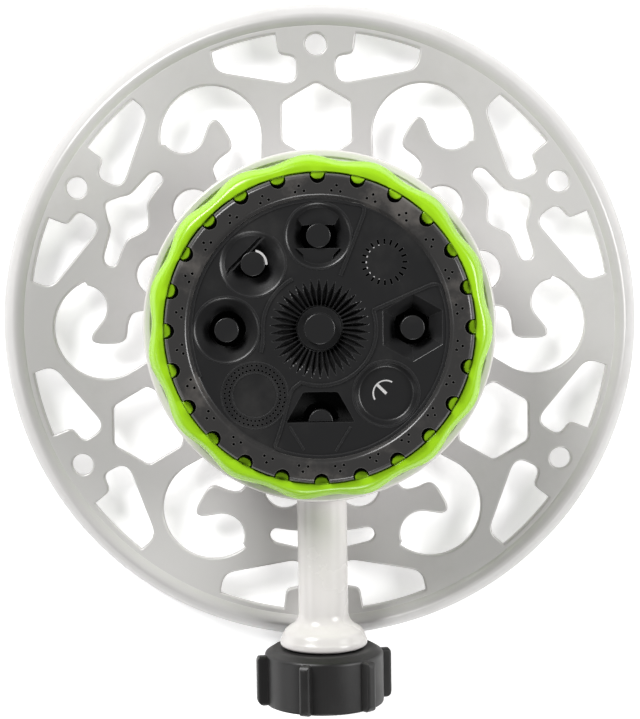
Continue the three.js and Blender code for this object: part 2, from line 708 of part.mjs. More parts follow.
function dialBody() {
  const floorTop = DIAL_BOTTOM + FLOOR_THICKNESS;
  const pan = turned(
    [
      [0, DIAL_BOTTOM],
      [FLANGE_RADIUS, DIAL_BOTTOM],
      [FLANGE_RADIUS, FLANGE_TOP],
      [FLANGE_RADIUS - 1.6, FLANGE_TOP],
      [FLANGE_RADIUS - 1.6, BAND_BOTTOM - GAP],
      [FLANGE_RADIUS - 3.6, BAND_BOTTOM - GAP],
      [FLANGE_RADIUS - 3.6, floorTop],
      [0, floorTop],
    ],
    ROUND,
  );
  const sockets = evenAngles(OUTLETS).map((angle) =>
    onOutlet(cylinder(CUP_RADIUS - 1.2, DIAL_BOTTOM + 1, SOCKET_TOP, OUTLET_SIDES), angle),
  );
  const hub = cylinder(HUB_RADIUS, DIAL_BOTTOM + 1, PIVOT_TOP - GAP);
  const ports = evenAngles(OUTLETS).map((angle) =>
    onOutlet(cylinder(WELL_RADIUS - 0.2, DIAL_BOTTOM - 1, SOCKET_TOP + 1, SMALL), angle),
  );
  const dimples = evenAngles(OUTLETS, DETENT_ANGLE).map((angle) =>
    placed(
      turned([[0, DIAL_BOTTOM - 1], [DETENT_RADIUS + 0.8, DIAL_BOTTOM - 1],
        [DETENT_RADIUS + 0.6, DIAL_BOTTOM], [1.2, DIAL_BOTTOM + 1.3], [0, DIAL_BOTTOM + 1.3]], SMALL),
      DETENT_CIRCLE,
      angle,
    ),
  );
  const screwHoles = evenAngles(4, 22.5).flatMap((angle) => [
    placed(
      cylinder(DIAL_SCREW_RADIUS + GAP, DIAL_BOTTOM - 1, floorTop + 1, SMALL),
      DIAL_SCREW_CIRCLE,
      angle,
    ),
    placed(
      cylinder(HEAD_RATIO * DIAL_SCREW_RADIUS + GAP, DIAL_BOTTOM - 1, DIAL_BOTTOM + 1.4, SMALL),
      DIAL_SCREW_CIRCLE,
      angle,
    ),
  ]);
  const hollow = cut(
    join(pan, ...sockets, hub),
    ...ports,
    cylinder(HUB_INNER_RADIUS, DIAL_BOTTOM - 1, PIVOT_TOP + 1, ROUND),
    ...dimples,
    ...screwHoles,
  );
  const pinTop = FACE_TOP - 0.5;
  const pins = PIN_OUTLETS.flatMap((angle) => [
    onOutlet(cylinder(PIN_RADIUS, DIAL_BOTTOM + 0.6, pinTop, SMALL), angle),
    ...[90, 210, 330].map((arm) =>
      onOutlet(
        box(PIN_RADIUS - 0.6, WELL_RADIUS + 0.4, -0.6, 0.6, DIAL_BOTTOM + 0.6, DIAL_BOTTOM + 4)
          .rotateZ(radians(arm)),
        angle,
      ),
    ),
  ]);
  // The south pin is a half pin above the port: the plate's ledge stands where its other half would be.
  const ledgeBottom = CUP_BOTTOM + LEDGE_RISE - GAP;
  const underLedge = onOutlet(
    box(-WELL_RADIUS, WELL_RADIUS, -WELL_RADIUS, LEDGE_OFFSET + GAP, ledgeBottom, FACE_TOP),
    OUTLET.south,
  );
  return hollow.add(cut(join(...pins), underLedge));
}

function dialGasket() {
  const low = SOCKET_TOP + GAP;
  const inner = OUTLET_CIRCLE - CUP_RADIUS + 0.5;
  const outer = OUTLET_CIRCLE + CUP_RADIUS - 0.8;
  const opening = (radius) => cylinder(radius, low - 1, low + 2, SMALL);
  return cut(
    solidOf(ring(inner, outer, low, low + GASKET_THICKNESS, ROUND)),
    ...evenAngles(OUTLETS).map((angle) => onOutlet(opening(WELL_RADIUS + 0.2), angle)),
    ...evenAngles(4, 22.5).map((angle) =>
      placed(opening(DIAL_SCREW_RADIUS + 1.8 + GAP), DIAL_SCREW_CIRCLE, angle),
    ),
  );
}

// The wavy hand grip: a turned ring whose outer side swells into lobes, with a nub for each notch of the plate.
function gripRing() {
  const bottom = DIAL_BOTTOM + 0.6;
  const ledgeTop = BAND_BOTTOM - GAP;
  const top = DIAL_TOP - 2.4;
  const profile = [
    [GRIP_BORE, bottom],
    [GRIP_RADIUS - 1.7, bottom],
    [GRIP_RADIUS, (bottom + top) / 2 - 1],
    [GRIP_RADIUS - 0.8, top - 3.6],
    [GRIP_RADIUS - 3.2, top],
    [GRIP_BORE, top],
    [GRIP_BORE, ledgeTop],
    [GRIP_BORE - 1.7, ledgeTop],
    [GRIP_BORE - 1.7, FLANGE_TOP + GAP],
    [GRIP_BORE, FLANGE_TOP + GAP],
  ];
  const geometry = turned(profile, GRIP_LOBES * 4);
  const position = geometry.attributes.position;
  for (let i = 0; i < position.count; i++) {
    const x = position.getX(i);
    const y = position.getY(i);
    const radius = Math.hypot(x, y);
    const share = Math.max(0, radius - GRIP_BORE) / GRIP_WIDTH;
    const wave = (1 - Math.cos(GRIP_LOBES * (Math.atan2(y, x) - radians(94)))) / 2;
    const scale = (radius - GRIP_WAVE * share * wave) / radius;
    position.setXY(i, x * scale, y * scale);
  }
  const half = NOTCH_WIDTH / 2 - GAP;
  const root = GRIP_BORE + 0.8;
  const tip = DIAL_RADIUS - NOTCH_DEPTH + 1.6;
  const nubs = evenAngles(NOTCHES).map((angle) =>
    prism(
      rounded([[root, -half, 0], [root, half, 0], [tip, half, 1.8], [tip, -half, 1.8]], 1),
      ledgeTop - 0.5,
      top - 0.6,
    ).rotateZ(radians(angle)),
  );
  return join(geometry, ...nubs);
}

function centreCap() {
  return solidOf(
    turned([
      [0, CENTRE_FLOOR_BOTTOM - 0.1],
      [CENTRE_WELL_RADIUS / 2 - GAP, CENTRE_FLOOR_BOTTOM - 0.1],
      [CENTRE_WELL_RADIUS / 2 - GAP, CENTRE_FLOOR_TOP + GAP],
      [CENTRE_WELL_RADIUS - 0.5, CENTRE_FLOOR_TOP + GAP],
      [CENTRE_WELL_RADIUS - 0.5, CENTRE_FLOOR_TOP + 1],
      [CENTRE_WELL_RADIUS - 2.3, CENTRE_FLOOR_TOP + 1],
      [CENTRE_WELL_RADIUS - 2.3, FACE_TOP - 0.6],
      [CENTRE_WELL_RADIUS - 2.7, FACE_TOP - 0.2],
      [0, FACE_TOP - 0.2],
    ]),
  );
}

// ---------------------------------------------------------------- pivot, port, detent and screws

// A screw on Z with its head at the top: shank from low to the head, which is head tall.
function screw(shank, low, headBottom, head) {
  const wide = HEAD_RATIO * shank;
  const profile = [
    [0, low],
    [0.5 * shank, low],
    [shank, low + shank],
    [shank, headBottom],
    [wide, headBottom],
    [wide, headBottom + 0.6 * head],
    [0.75 * wide, headBottom + head],
    [0, headBottom + head],
  ];
  const slotBottom = headBottom + 0.45 * head;
  const slot = () =>
    box(-0.55 * wide, 0.55 * wide, -0.2 * shank, 0.2 * shank, slotBottom, headBottom + 2 * head);
  return cut(solidOf(turned(profile, SMALL)), slot(), slot().rotateZ(Math.PI / 2));
}

// The same screw driven upwards from below, its head under the height given.
function screwFromBelow(shank, headTop, high, head) {
  const geometry = geometryOf(screw(shank, 0, high - headTop, head));
  return geometry.rotateX(Math.PI).translate(0, 0, high);
}

const pivotWasher = () =>
  solidOf(ring(BASE_SCREW_RADIUS + GAP, HUB_RADIUS - 0.4, PIVOT_TOP + GAP, PIVOT_WASHER_TOP));

const pivotScrew = () =>
  screw(
    BASE_SCREW_RADIUS,
    DECK_BOTTOM - 5,
    PIVOT_WASHER_TOP + GAP,
    PIVOT_SCREW_TOP - PIVOT_WASHER_TOP - GAP,
  );

// The rubber cup that a spring presses up against the dial round the open port.
const portSeal = () =>
  turned([
    [SEAL_RADIUS - 2.9, SEAL_BOTTOM],
    [SEAL_RADIUS, SEAL_BOTTOM],
    [SEAL_RADIUS, SEAL_TOP - 1],
    [SEAL_RADIUS - 0.6, SEAL_TOP],
    [SEAL_RADIUS - 1.6, SEAL_TOP],
    [SEAL_RADIUS - 2.9, SEAL_TOP - 1.2],
  ]);

const detentPlunger = () =>
  turned(
    [
      [0, DETENT_BOTTOM],
      [DETENT_RADIUS, DETENT_BOTTOM],
      [DETENT_RADIUS, DETENT_TIP - 1.6],
      [0.75 * DETENT_RADIUS, DETENT_TIP - 0.6],
      [0.4 * DETENT_RADIUS, DETENT_TIP],
      [0, DETENT_TIP],
    ],
    SMALL,
  );

// ---------------------------------------------------------------- materials and assembly

const finish = (color, roughness, metalness = 0) =>
  new THREE.MeshStandardMaterial({ color, roughness, metalness });
const silverPaint = () => finish("#d0cecc", 0.42, 0.25);
const greyPlastic = () => finish("#dcd8d6", 0.3);
const limePlastic = () => finish("#a0d728", 0.32);
const blackPlastic = () => finish("#232324", 0.4);
const nutPlastic = () => finish("#2d2c2c", 0.5);
const rubber = () => finish("#141414", 0.85);
const steel = () => finish("#a9abad", 0.3, 1);

const sprinkler = new THREE.Group();
const turret = new THREE.Group();
turret.position.y = RING_CENTRE_Y;
sprinkler.add(turret);

function piece(name, shape, material) {
  const geometry = shape.isBufferGeometry ? shape : geometryOf(shape);
  const mesh = new THREE.Mesh(geometry, material);
  mesh.name = name;
  turret.add(mesh);
}

piece("base_plate", basePlate(), silverPaint());
piece("turret_housing", turretHousing(), greyPlastic());
piece("inlet_tube", inletTube(), greyPlastic());
piece("hose_nut", hoseNut(), nutPlastic());
piece("hose_washer", hoseWasher(), rubber());
piece("dial_plate", dialPlate(), blackPlastic());
piece("dial_body", dialBody(), blackPlastic());
piece("dial_gasket", dialGasket(), rubber());
piece("grip_ring", gripRing(), limePlastic());
piece("centre_cap", centreCap(), blackPlastic());
piece("pivot_washer", pivotWasher(), steel());
piece("pivot_screw", pivotScrew(), steel());
piece("port_seal", portSeal().translate(0, PORT_Y, 0), rubber());
piece(
  "port_spring",
  spring(SEAL_RADIUS - 1.2, 0.35, POCKET_BOTTOM + GAP, SEAL_BOTTOM - GAP, 2).translate(0, PORT_Y, 0),
  steel(),
);
piece("detent_plunger", placed(detentPlunger(), DETENT_CIRCLE, DETENT_ANGLE), blackPlastic());
piece(
  "detent_spring",
  placed(
    spring(DETENT_RADIUS - 0.5, 0.25, DETENT_POCKET_BOTTOM + GAP, DETENT_BOTTOM - GAP, 4),
    DETENT_CIRCLE,
    DETENT_ANGLE,
  ),
  steel(),
);
HEX_AXES.forEach((axis, i) => {
  const headTop = WEB_TOP - WEB_THICKNESS - GAP;
  const shape = screwFromBelow(BASE_SCREW_RADIUS, headTop, HOUSING_BOTTOM + BASE_SCREW_GRIP, 2);
  piece(`base_screw_${i + 1}`, placed(shape, BASE_SCREW_CIRCLE, axis), steel());
});
evenAngles(4, 22.5).forEach((angle, i) => {
  const headTop = DIAL_BOTTOM + 1.4 - GAP;
  const shape = screwFromBelow(DIAL_SCREW_RADIUS, headTop, FACE_TOP - 3, 0.9);
  piece(`dial_screw_${i + 1}`, placed(shape, DIAL_SCREW_CIRCLE, angle), steel());
});

export default sprinkler;
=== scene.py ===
# %% [markdown]
# # A turret lawn sprinkler
# A turret sprinkler has a dial with a different nozzle under every sector. The dial turns on a fixed housing,
# which stands on an openwork cast base and takes its water from a side tube with a winged hose nut.
# The solid model is loaded first. It fixes every size and place, so each piece below starts from its box.

# %% Load the solid model
import json
import math
from math import cos, pi, radians, sin

import bmesh
import bpy
from mathutils import Matrix, Vector
from mathutils.geometry import delaunay_2d_cdt

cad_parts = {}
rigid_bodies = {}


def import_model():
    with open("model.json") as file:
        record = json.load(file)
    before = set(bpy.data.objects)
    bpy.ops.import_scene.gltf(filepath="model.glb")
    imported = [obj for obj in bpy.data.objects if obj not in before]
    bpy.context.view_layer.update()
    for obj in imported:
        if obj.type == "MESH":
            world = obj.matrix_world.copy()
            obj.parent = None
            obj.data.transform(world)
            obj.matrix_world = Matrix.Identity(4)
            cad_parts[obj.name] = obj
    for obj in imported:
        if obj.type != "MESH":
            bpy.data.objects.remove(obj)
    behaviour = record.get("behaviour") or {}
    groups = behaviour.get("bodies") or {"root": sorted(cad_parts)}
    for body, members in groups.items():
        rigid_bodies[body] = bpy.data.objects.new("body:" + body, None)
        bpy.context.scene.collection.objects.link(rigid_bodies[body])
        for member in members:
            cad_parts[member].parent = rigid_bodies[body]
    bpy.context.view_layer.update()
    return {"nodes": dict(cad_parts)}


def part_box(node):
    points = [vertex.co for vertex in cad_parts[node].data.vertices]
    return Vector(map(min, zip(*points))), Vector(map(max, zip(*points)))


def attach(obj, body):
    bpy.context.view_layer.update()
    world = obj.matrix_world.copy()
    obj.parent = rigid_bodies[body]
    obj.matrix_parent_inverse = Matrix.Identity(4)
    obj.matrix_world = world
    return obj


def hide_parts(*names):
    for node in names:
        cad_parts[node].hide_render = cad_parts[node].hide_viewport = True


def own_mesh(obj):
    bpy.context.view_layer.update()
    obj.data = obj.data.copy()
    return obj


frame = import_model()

# %% [markdown]
# ## Working units
# Blender works in metres, but the makers of such a thing think in millimetres. Every shape here is drawn in
# millimetres round the turret's own axis, and one function brings it into place. The levels that pieces share
# are read off the boxes of the solid model, so the looks can't drift away from the mechanics.

# %% Levels and centres in millimetres
MM = 0.001


def box_mm(node):
    low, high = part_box(node)
    return Vector(low) / MM, Vector(high) / MM


base_low, base_high = box_mm("base_plate")
plate_low, plate_high = box_mm("dial_plate")
body_low, _ = box_mm("dial_body")
grip_low, grip_high = box_mm("grip_ring")
housing_low, housing_high = box_mm("turret_housing")
tube_low, tube_high = box_mm("inlet_tube")
nut_low, nut_high = box_mm("hose_nut")

CENTRE_Y = (base_low.y + base_high.y) / 2
RING_RADIUS = (base_high.x - base_low.x) / 2
RIM_HEIGHT = base_high.z
WEB_TOP = RIM_HEIGHT - 1
WEB_THICKNESS = 3
HOUSING_RADIUS = (housing_high.x - housing_low.x) / 2
FOOT_RADIUS = HOUSING_RADIUS - 5.5
DIAL_RADIUS = 44.5
DIAL_TOP = plate_high.z
FACE_TOP = DIAL_TOP - 1.5
FACE_BOTTOM = FACE_TOP - 2.5
CUP_BOTTOM = plate_low.z
BAND_INNER = DIAL_RADIUS - 6.3
BAND_BOTTOM = DIAL_TOP - 5.5
DIAL_BOTTOM = body_low.z
DECK_TOP = DIAL_BOTTOM - 1.5
HOUSING_TOP = DECK_TOP + 0.8
OUTLET_CIRCLE = 26.7
DETENT_CIRCLE = 38.5
DETENT_TURN = 60
DIAL_SCREW_CIRCLE = 33.5
DIAL_SCREW_TURN = 22.5
TUBE_Z = (tube_low.z + tube_high.z) / 2
NUT_START = CENTRE_Y - nut_high.y
NUT_END = CENTRE_Y - nut_low.y
print("ring radius", round(RING_RADIUS, 2), "dial top", round(DIAL_TOP, 2), "tube axis", round(TUBE_Z, 2))

# %% [markdown]
# ## The camera
# The sprinkler is seen from almost straight above, from about half a metre, with a long portrait lens. The
# camera leans three degrees back from the vertical and is rolled a little. It is set first, so that every
# piece can be judged in the final view.

# %% Camera
CAMERA_DISTANCE = 540
CAMERA_TILT = radians(3.3)
CAMERA_ROLL = radians(-0.8)
AIM_SOUTH = 11.8
LENS = 85.1

camera_data = bpy.data.cameras.new("camera")
camera_data.lens = LENS
camera_data.sensor_width = 36
camera = bpy.data.objects.new("camera", camera_data)
bpy.context.scene.collection.objects.link(camera)
aim = Vector((0, CENTRE_Y - AIM_SOUTH, 0))
lean = Vector((0, sin(CAMERA_TILT), cos(CAMERA_TILT)))
camera.location = (aim + CAMERA_DISTANCE * lean) * MM
camera_turn = Matrix.Rotation(-CAMERA_TILT, 4, "X") @ Matrix.Rotation(CAMERA_ROLL, 4, "Z")
camera.rotation_euler = camera_turn.to_euler()
bpy.context.scene.camera = camera
print("camera at", [round(v, 3) for v in camera.location])

# %% [markdown]
# ## The studio
# A pale floor, a bright even sky and four big soft lamps give the look of a catalogue picture.
# Plain colours stay true with the standard view transform, because the lime plastic is more saturated than a
# film-like transform would keep.

# %% Floor, sky and lamps
FLOOR_SIDE = 8
TENT_WALL = 1.9
TENT_TOP = 0.32
FLOOR_GLOW = 0.45     # the floor is a lit panel, which keeps the shadows in the openings light


def new_material(name):
    material = bpy.data.materials.new(name)
    material.use_nodes = True
    return material


def make_floor():
    mesh = bpy.data.meshes.new("floor")
    half = FLOOR_SIDE / 2
    corners = [(-half, -half, 0), (half, -half, 0), (half, half, 0), (-half, half, 0)]
    mesh.from_pydata(corners, [], [(0, 1, 2, 3)])
    floor = bpy.data.objects.new("floor", mesh)
    bpy.context.scene.collection.objects.link(floor)
    material = new_material("studio_floor")
    shader = material.node_tree.nodes["Principled BSDF"]
    shader.inputs["Base Color"].default_value = (0.93, 0.93, 0.93, 1)
    shader.inputs["Roughness"].default_value = 0.9
    shader.inputs["Specular IOR Level"].default_value = 0.1
    shader.inputs["Emission Color"].default_value = (1, 1, 1, 1)
    shader.inputs["Emission Strength"].default_value = FLOOR_GLOW
    mesh.materials.append(material)


def soft_lamp(name, place, size, power):
    data = bpy.data.lights.new(name, "AREA")
    data.shape = "DISK"
    data.size = size
    data.energy = power
    lamp = bpy.data.objects.new(name, data)
    lamp.location = place
    lamp.rotation_euler = (-Vector(place)).to_track_quat("-Z", "Y").to_euler()
    bpy.context.scene.collection.objects.link(lamp)


def make_sky():
    """A light tent: bright round the horizon, and darker straight above, where the camera looks in."""
    world = bpy.data.worlds.new("studio")
    world.use_nodes = True
    tree = world.node_tree
    place = tree.nodes.new("ShaderNodeTexCoord")
    axes = tree.nodes.new("ShaderNodeSeparateXYZ")
    level = tree.nodes.new("ShaderNodeMapRange")
    tree.links.new(place.outputs["Generated"], axes.inputs[0])
    tree.links.new(axes.outputs["Z"], level.inputs["Value"])
    level.interpolation_type = "SMOOTHSTEP"
    level.inputs["From Min"].default_value = 0.55
    level.inputs["From Max"].default_value = 0.97
    level.inputs["To Min"].default_value = TENT_WALL
    level.inputs["To Max"].default_value = TENT_TOP
    tree.links.new(level.outputs["Result"], tree.nodes["Background"].inputs["Strength"])
    return world


make_floor()
soft_lamp("key", (-0.75, 0.95, 0.85), 0.7, 22)
soft_lamp("side", (1.05, 0.15, 0.75), 0.6, 11)
soft_lamp("front", (0.1, -1.2, 0.8), 0.6, 8)
soft_lamp("left", (-1.2, -0.35, 0.55), 0.6, 2)
bpy.context.scene.world = make_sky()
bpy.context.scene.view_settings.view_transform = "Standard"

# %% [markdown]
# ## Shared surface effects
# Paint and moulded plastic are never one flat value. Three small node groups are built once and placed in
# each material: a relief of fine grain and broad waviness, soft patches of handling (on the dial's band also
# painted sheen) that change colour and gloss, and a mask of edges, lightened as wear and painted highlight.

# %% Node helpers
def add_node(tree, kind, inputs=None, **settings):
    """A node with its settings, and its inputs by name or number: a value, or another node's output."""
    node = tree.nodes.new(kind)
    for name, value in settings.items():
        setattr(node, name, value)
    for key, value in (inputs or {}).items():
        if isinstance(value, bpy.types.NodeSocket):
            tree.links.new(value, node.inputs[key])
        else:
            node.inputs[key].default_value = value
    return node


def new_group(name, kind, inputs, outputs):
    """An empty node group. Inputs are label: (socket type, default), and outputs are label: socket type."""
    tree = bpy.data.node_groups.new(name, kind)
    for label, (socket_type, default) in inputs.items():
        socket = tree.interface.new_socket(label, in_out="INPUT", socket_type="NodeSocket" + socket_type)
        if default is not None:
            socket.default_value = default
    for label, socket_type in outputs.items():
        tree.interface.new_socket(label, in_out="OUTPUT", socket_type="NodeSocket" + socket_type)
    return tree, tree.nodes.new("NodeGroupInput"), tree.nodes.new("NodeGroupOutput")


def math_node(tree, operation, *values):
    return add_node(tree, "ShaderNodeMath", dict(enumerate(values)), operation=operation).outputs[0]


def object_noise(tree, scale, detail, roughness):
    place = add_node(tree, "ShaderNodeTexCoord")
    settings = {"Vector": place.outputs["Object"], "Scale": scale, "Detail": detail, "Roughness": roughness}
    return add_node(tree, "ShaderNodeTexNoise", settings).outputs["Fac"]


def smooth_step(tree, value, low, breadth):
    settings = {"Value": value, "From Min": low, "From Max": math_node(tree, "ADD", low, breadth)}
    return add_node(tree, "ShaderNodeMapRange", settings, interpolation_type="SMOOTHSTEP").outputs["Result"]


# %% Three effect groups
def make_grain_group():
    """The fine relief of a moulded or sprayed surface, as a height to bump with."""
    sizes = {"Grain": ("Float", 1200.0), "Waviness": ("Float", 60.0)}
    tree, given, result = new_group("surface_grain", "ShaderNodeTree", sizes, {"Height": "Float"})
    fine = object_noise(tree, given.outputs["Grain"], 3.0, 0.6)
    broad = object_noise(tree, given.outputs["Waviness"], 2.0, 0.4)
    tree.links.new(math_node(tree, "MULTIPLY_ADD", broad, 1.5, fine), result.inputs["Height"])
    return tree


def make_handling_and_sheen_group():
    """Soft patches of handling, as a mask that colour and gloss follow; on the satin band, also painted
    sheen.
    """
    sizes = {"Patch size": ("Float", 35.0), "Coverage": ("Float", 0.48)}
    tree, given, result = new_group("handling_and_sheen_patches", "ShaderNodeTree", sizes, {"Mask": "Float"})
    patches = object_noise(tree, given.outputs["Patch size"], 5.0, 0.62)
    mask = smooth_step(tree, patches, given.outputs["Coverage"], 0.25)
    tree.links.new(mask, result.inputs["Mask"])
    return tree


def make_edge_group():
    """Edges and inner corners, where a rounded normal leaves the true one: a mask for wear and painted
    highlight.
    """
    sizes = {"Width": ("Float", 0.0003), "Start": ("Float", 0.02), "Breadth": ("Float", 0.2)}
    tree, given, result = new_group("worn_and_highlit_edges", "ShaderNodeTree", sizes, {"Mask": "Float"})
    rounded = add_node(tree, "ShaderNodeBevel", {"Radius": given.outputs["Width"]}, samples=4).outputs[0]
    true = add_node(tree, "ShaderNodeNewGeometry").outputs["Normal"]
    both = add_node(tree, "ShaderNodeVectorMath", {0: rounded, 1: true}, operation="DOT_PRODUCT")
    apart = math_node(tree, "SUBTRACT", 1.0, both.outputs["Value"])
    mask = smooth_step(tree, apart, given.outputs["Start"], given.outputs["Breadth"])
    tree.links.new(mask, result.inputs["Mask"])
    return tree


GRAIN = make_grain_group()
HANDLING_AND_SHEEN = make_handling_and_sheen_group()
WORN_AND_HIGHLIT_EDGES = make_edge_group()
print("effect groups:", [g.name for g in bpy.data.node_groups])

# %% [markdown]
# ## Finishes
# One function builds a finish out of the three effects, and what differs is in its numbers. The cast base is
# sprayed silver: a little metallic, with the deepest grain beside the nut's. The grey and lime plastics are
# glossier than the black ones, and the lime grip has a thin clear coat as well.

# %% Finishes
def mixed(tree, mask, low, high):
    settings = {0: mask, 6: low, 7: high}
    return add_node(tree, "ShaderNodeMix", settings, data_type="RGBA").outputs[2]


def finish(name, plain, worn_and_sheen, edge, rough, grain, depth, patch=35.0, waviness=60.0, **shader_values):
    """plain is the colour; the next tint is for handled patches, the last for edges, as wear and painted
    highlight.
    """
    material = new_material(name)
    tree = material.node_tree
    shader = tree.nodes["Principled BSDF"]
    # the patch tint is handling wear, and on the satin band also painted sheen
    handling_and_sheen = add_node(tree, "ShaderNodeGroup", {"Patch size": patch}, node_tree=HANDLING_AND_SHEEN).outputs["Mask"]
    # edges and inner corners get a lighter tint: partly wear, partly a painted highlight
    edges = add_node(tree, "ShaderNodeGroup", node_tree=WORN_AND_HIGHLIT_EDGES).outputs["Mask"]
    relief = add_node(tree, "ShaderNodeGroup", {"Grain": grain, "Waviness": waviness}, node_tree=GRAIN)
    colour = mixed(tree, edges, mixed(tree, handling_and_sheen, (*plain, 1), (*worn_and_sheen, 1)), (*edge, 1))
    gloss = add_node(tree, "ShaderNodeMapRange", {"Value": handling_and_sheen, "To Min": rough[0], "To Max": rough[1]})
    bump_settings = {"Strength": 0.35, "Distance": depth * MM, "Height": relief.outputs["Height"]}
    bump = add_node(tree, "ShaderNodeBump", bump_settings)
    tree.links.new(colour, shader.inputs["Base Color"])
    tree.links.new(gloss.outputs["Result"], shader.inputs["Roughness"])
    tree.links.new(bump.outputs["Normal"], shader.inputs["Normal"])
    for socket, value in shader_values.items():
        shader.inputs[socket.replace("_", " ")].default_value = value
    return material


# The third colour of each finish tints its edges: wear and a painted highlight.
SILVER = finish("sprayed_silver", (0.57, 0.56, 0.55), (0.53, 0.52, 0.507), (0.72, 0.715, 0.71), (0.34, 0.44),
                900, 0.05, Metallic=0.12)
GREY = finish("moulded_grey", (0.70, 0.675, 0.66), (0.66, 0.635, 0.62), (0.78, 0.76, 0.75), (0.24, 0.33),
              700, 0.02)
LIME = finish("moulded_lime", (0.33, 0.64, 0.012), (0.29, 0.58, 0.01), (0.46, 0.78, 0.05), (0.26, 0.36),
              800, 0.02, Coat_Weight=0.15)
BLACK = finish("moulded_black", (0.014, 0.014, 0.0145), (0.02, 0.0195, 0.019), (0.05, 0.05, 0.051),
               (0.34, 0.46), 1500, 0.03)
NUT = finish("nut_black", (0.0135, 0.013, 0.013), (0.019, 0.0185, 0.018), (0.04, 0.039, 0.038), (0.42, 0.55),
             1100, 0.05)
RUBBER = finish("soft_rubber", (0.012, 0.012, 0.012), (0.018, 0.018, 0.018), (0.03, 0.03, 0.03), (0.7, 0.85),
                1500, 0.04)
STEEL = finish("stainless_steel", (0.56, 0.56, 0.57), (0.5, 0.5, 0.5), (0.7, 0.7, 0.71), (0.22, 0.35),
               2500, 0.01, Metallic=1.0)
print("finishes:", [material.name for material in (SILVER, GREY, LIME, BLACK, NUT, RUBBER, STEEL)])

# %% [markdown]
# ## Outlines and solids
# Most of the sprinkler is either turned or moulded, so a few tools make nearly all of it: rounded outlines,
# a lathe, an upright prism and a cut. Everything is drawn in millimetres round the turret's axis. The last
# step of each piece moves it to its place, turns millimetres into metres and names what it stands for.

# %% Outlines
def arc(x, y, radius, start, end, steps):
    turns = [radians(start + (end - start) * i / steps) for i in range(steps + 1)]
    return [(x + radius * cos(t), y + radius * sin(t)) for t in turns]


def circle(radius, steps=64, x=0.0, y=0.0):
    return arc(x, y, radius, 0, 360 * (steps - 1) / steps, steps - 1)


def softened(corners, closed=True, steps=5):
    """An outline from (x, y) or (x, y, reach): a corner is rounded from its reach along both sides."""
    outline = []
    for i, corner in enumerate(corners):
        here = Vector(corner[:2])
        at_end = not closed and i in (0, len(corners) - 1)
        if len(corner) < 3 or at_end:
            outline.append(tuple(here))
            continue
        sides = [Vector(corners[j % len(corners)][:2]) - here for j in (i - 1, i + 1)]
        start, end = [here + side.normalized() * min(corner[2], side.length / 2) for side in sides]
        for step in range(steps + 1):
            t = step / steps
            outline.append(tuple((1 - t) ** 2 * start + 2 * t * (1 - t) * here + t * t * end))
    return outline


def curved(points, steps, closed=False):
    """A smooth line through the points (a Catmull-Rom spline)."""
    count = len(points)
    line = []
    for i in range(count if closed else count - 1):
        near = [i - 1, i, i + 1, i + 2]
        index = [j % count for j in near] if closed else [min(max(j, 0), count - 1) for j in near]
        a, b, c, d = [Vector(points[j]) for j in index]
        for step in range(steps):
            t = step / steps
            line.append(tuple(0.5 * (2 * b + (c - a) * t + (2 * a - 5 * b + 4 * c - d) * t * t
                                     + (3 * b - a - 3 * c + d) * t ** 3)))
    return line if closed else line + [tuple(points[-1])]


def turned_outline(outline, degrees, mirrored=False):
    side = -1 if mirrored else 1
    c, s = cos(radians(degrees)), sin(radians(degrees))
    return [(side * x * c - y * s, side * x * s + y * c) for x, y in outline]


# %% Solids
ROUND = 128        # sides of a large turned piece
scene_objects = bpy.context.scene.collection.objects


def solid(name, bm):
    """A working object in millimetres from a closed bmesh."""
    bmesh.ops.remove_doubles(bm, verts=bm.verts, dist=1e-5)
    bmesh.ops.recalc_face_normals(bm, faces=bm.faces)
    mesh = bpy.data.meshes.new(name)
    bm.to_mesh(mesh)
    bm.free()
    obj = bpy.data.objects.new(name, mesh)
    scene_objects.link(obj)
    return obj


def lathe(name, profile, steps=ROUND):
    """Turns an outline of (radius, height) round Z. It closes on itself, or starts and ends on the axis."""
    bm = bmesh.new()
    turns = [2 * pi * i / steps for i in range(steps)]
    rings = [
        [bm.verts.new((0, 0, z))] if r < 1e-6 else [bm.verts.new((r * cos(t), r * sin(t), z)) for t in turns]
        for r, z in profile
    ]
    if len(rings[0]) > 1:
        rings.append(rings[0])
    for low, high in zip(rings, rings[1:]):
        for i in range(steps):
            j = (i + 1) % steps
            quad = [low[i % len(low)], low[j % len(low)], high[j % len(high)], high[i % len(high)]]
            corners = [v for k, v in enumerate(quad) if v not in quad[:k]]
            if len(corners) > 2:
                bm.faces.new(corners)
    return solid(name, bm)


def cylinder(name, radius, low, high, steps):
    return lathe(name, [(0, low), (radius, low), (radius, high), (0, high)], steps)


def prism(name, outline, low, high):
    bm = bmesh.new()
    bottom = [bm.verts.new((x, y, low)) for x, y in outline]
    top = [bm.verts.new((x, y, high)) for x, y in outline]
    bm.faces.new(bottom)
    bm.faces.new(top)
    for i in range(len(outline)):
        j = (i + 1) % len(outline)
        bm.faces.new((bottom[i], bottom[j], top[j], top[i]))
    return solid(name, bm)


def block(name, x0, x1, y0, y1, z0, z1):
    return prism(name, [(x0, y0), (x1, y0), (x1, y1), (x0, y1)], z0, z1)


def moved(obj, x=0.0, y=0.0, z=0.0, turn=0.0):
    """Turns a working object round Z by degrees, then moves it."""
    obj.data.transform(Matrix.Translation((x, y, z)) @ Matrix.Rotation(radians(turn), 4, "Z"))
    return obj


def tipped_along_inlet(obj):
    """Lays a piece turned round Z along the inlet, which runs outwards along -Y at the tube's height."""
    obj.data.transform(Matrix.Translation((0, 0, TUBE_Z)) @ Matrix.Rotation(radians(90), 4, "X"))
    return obj


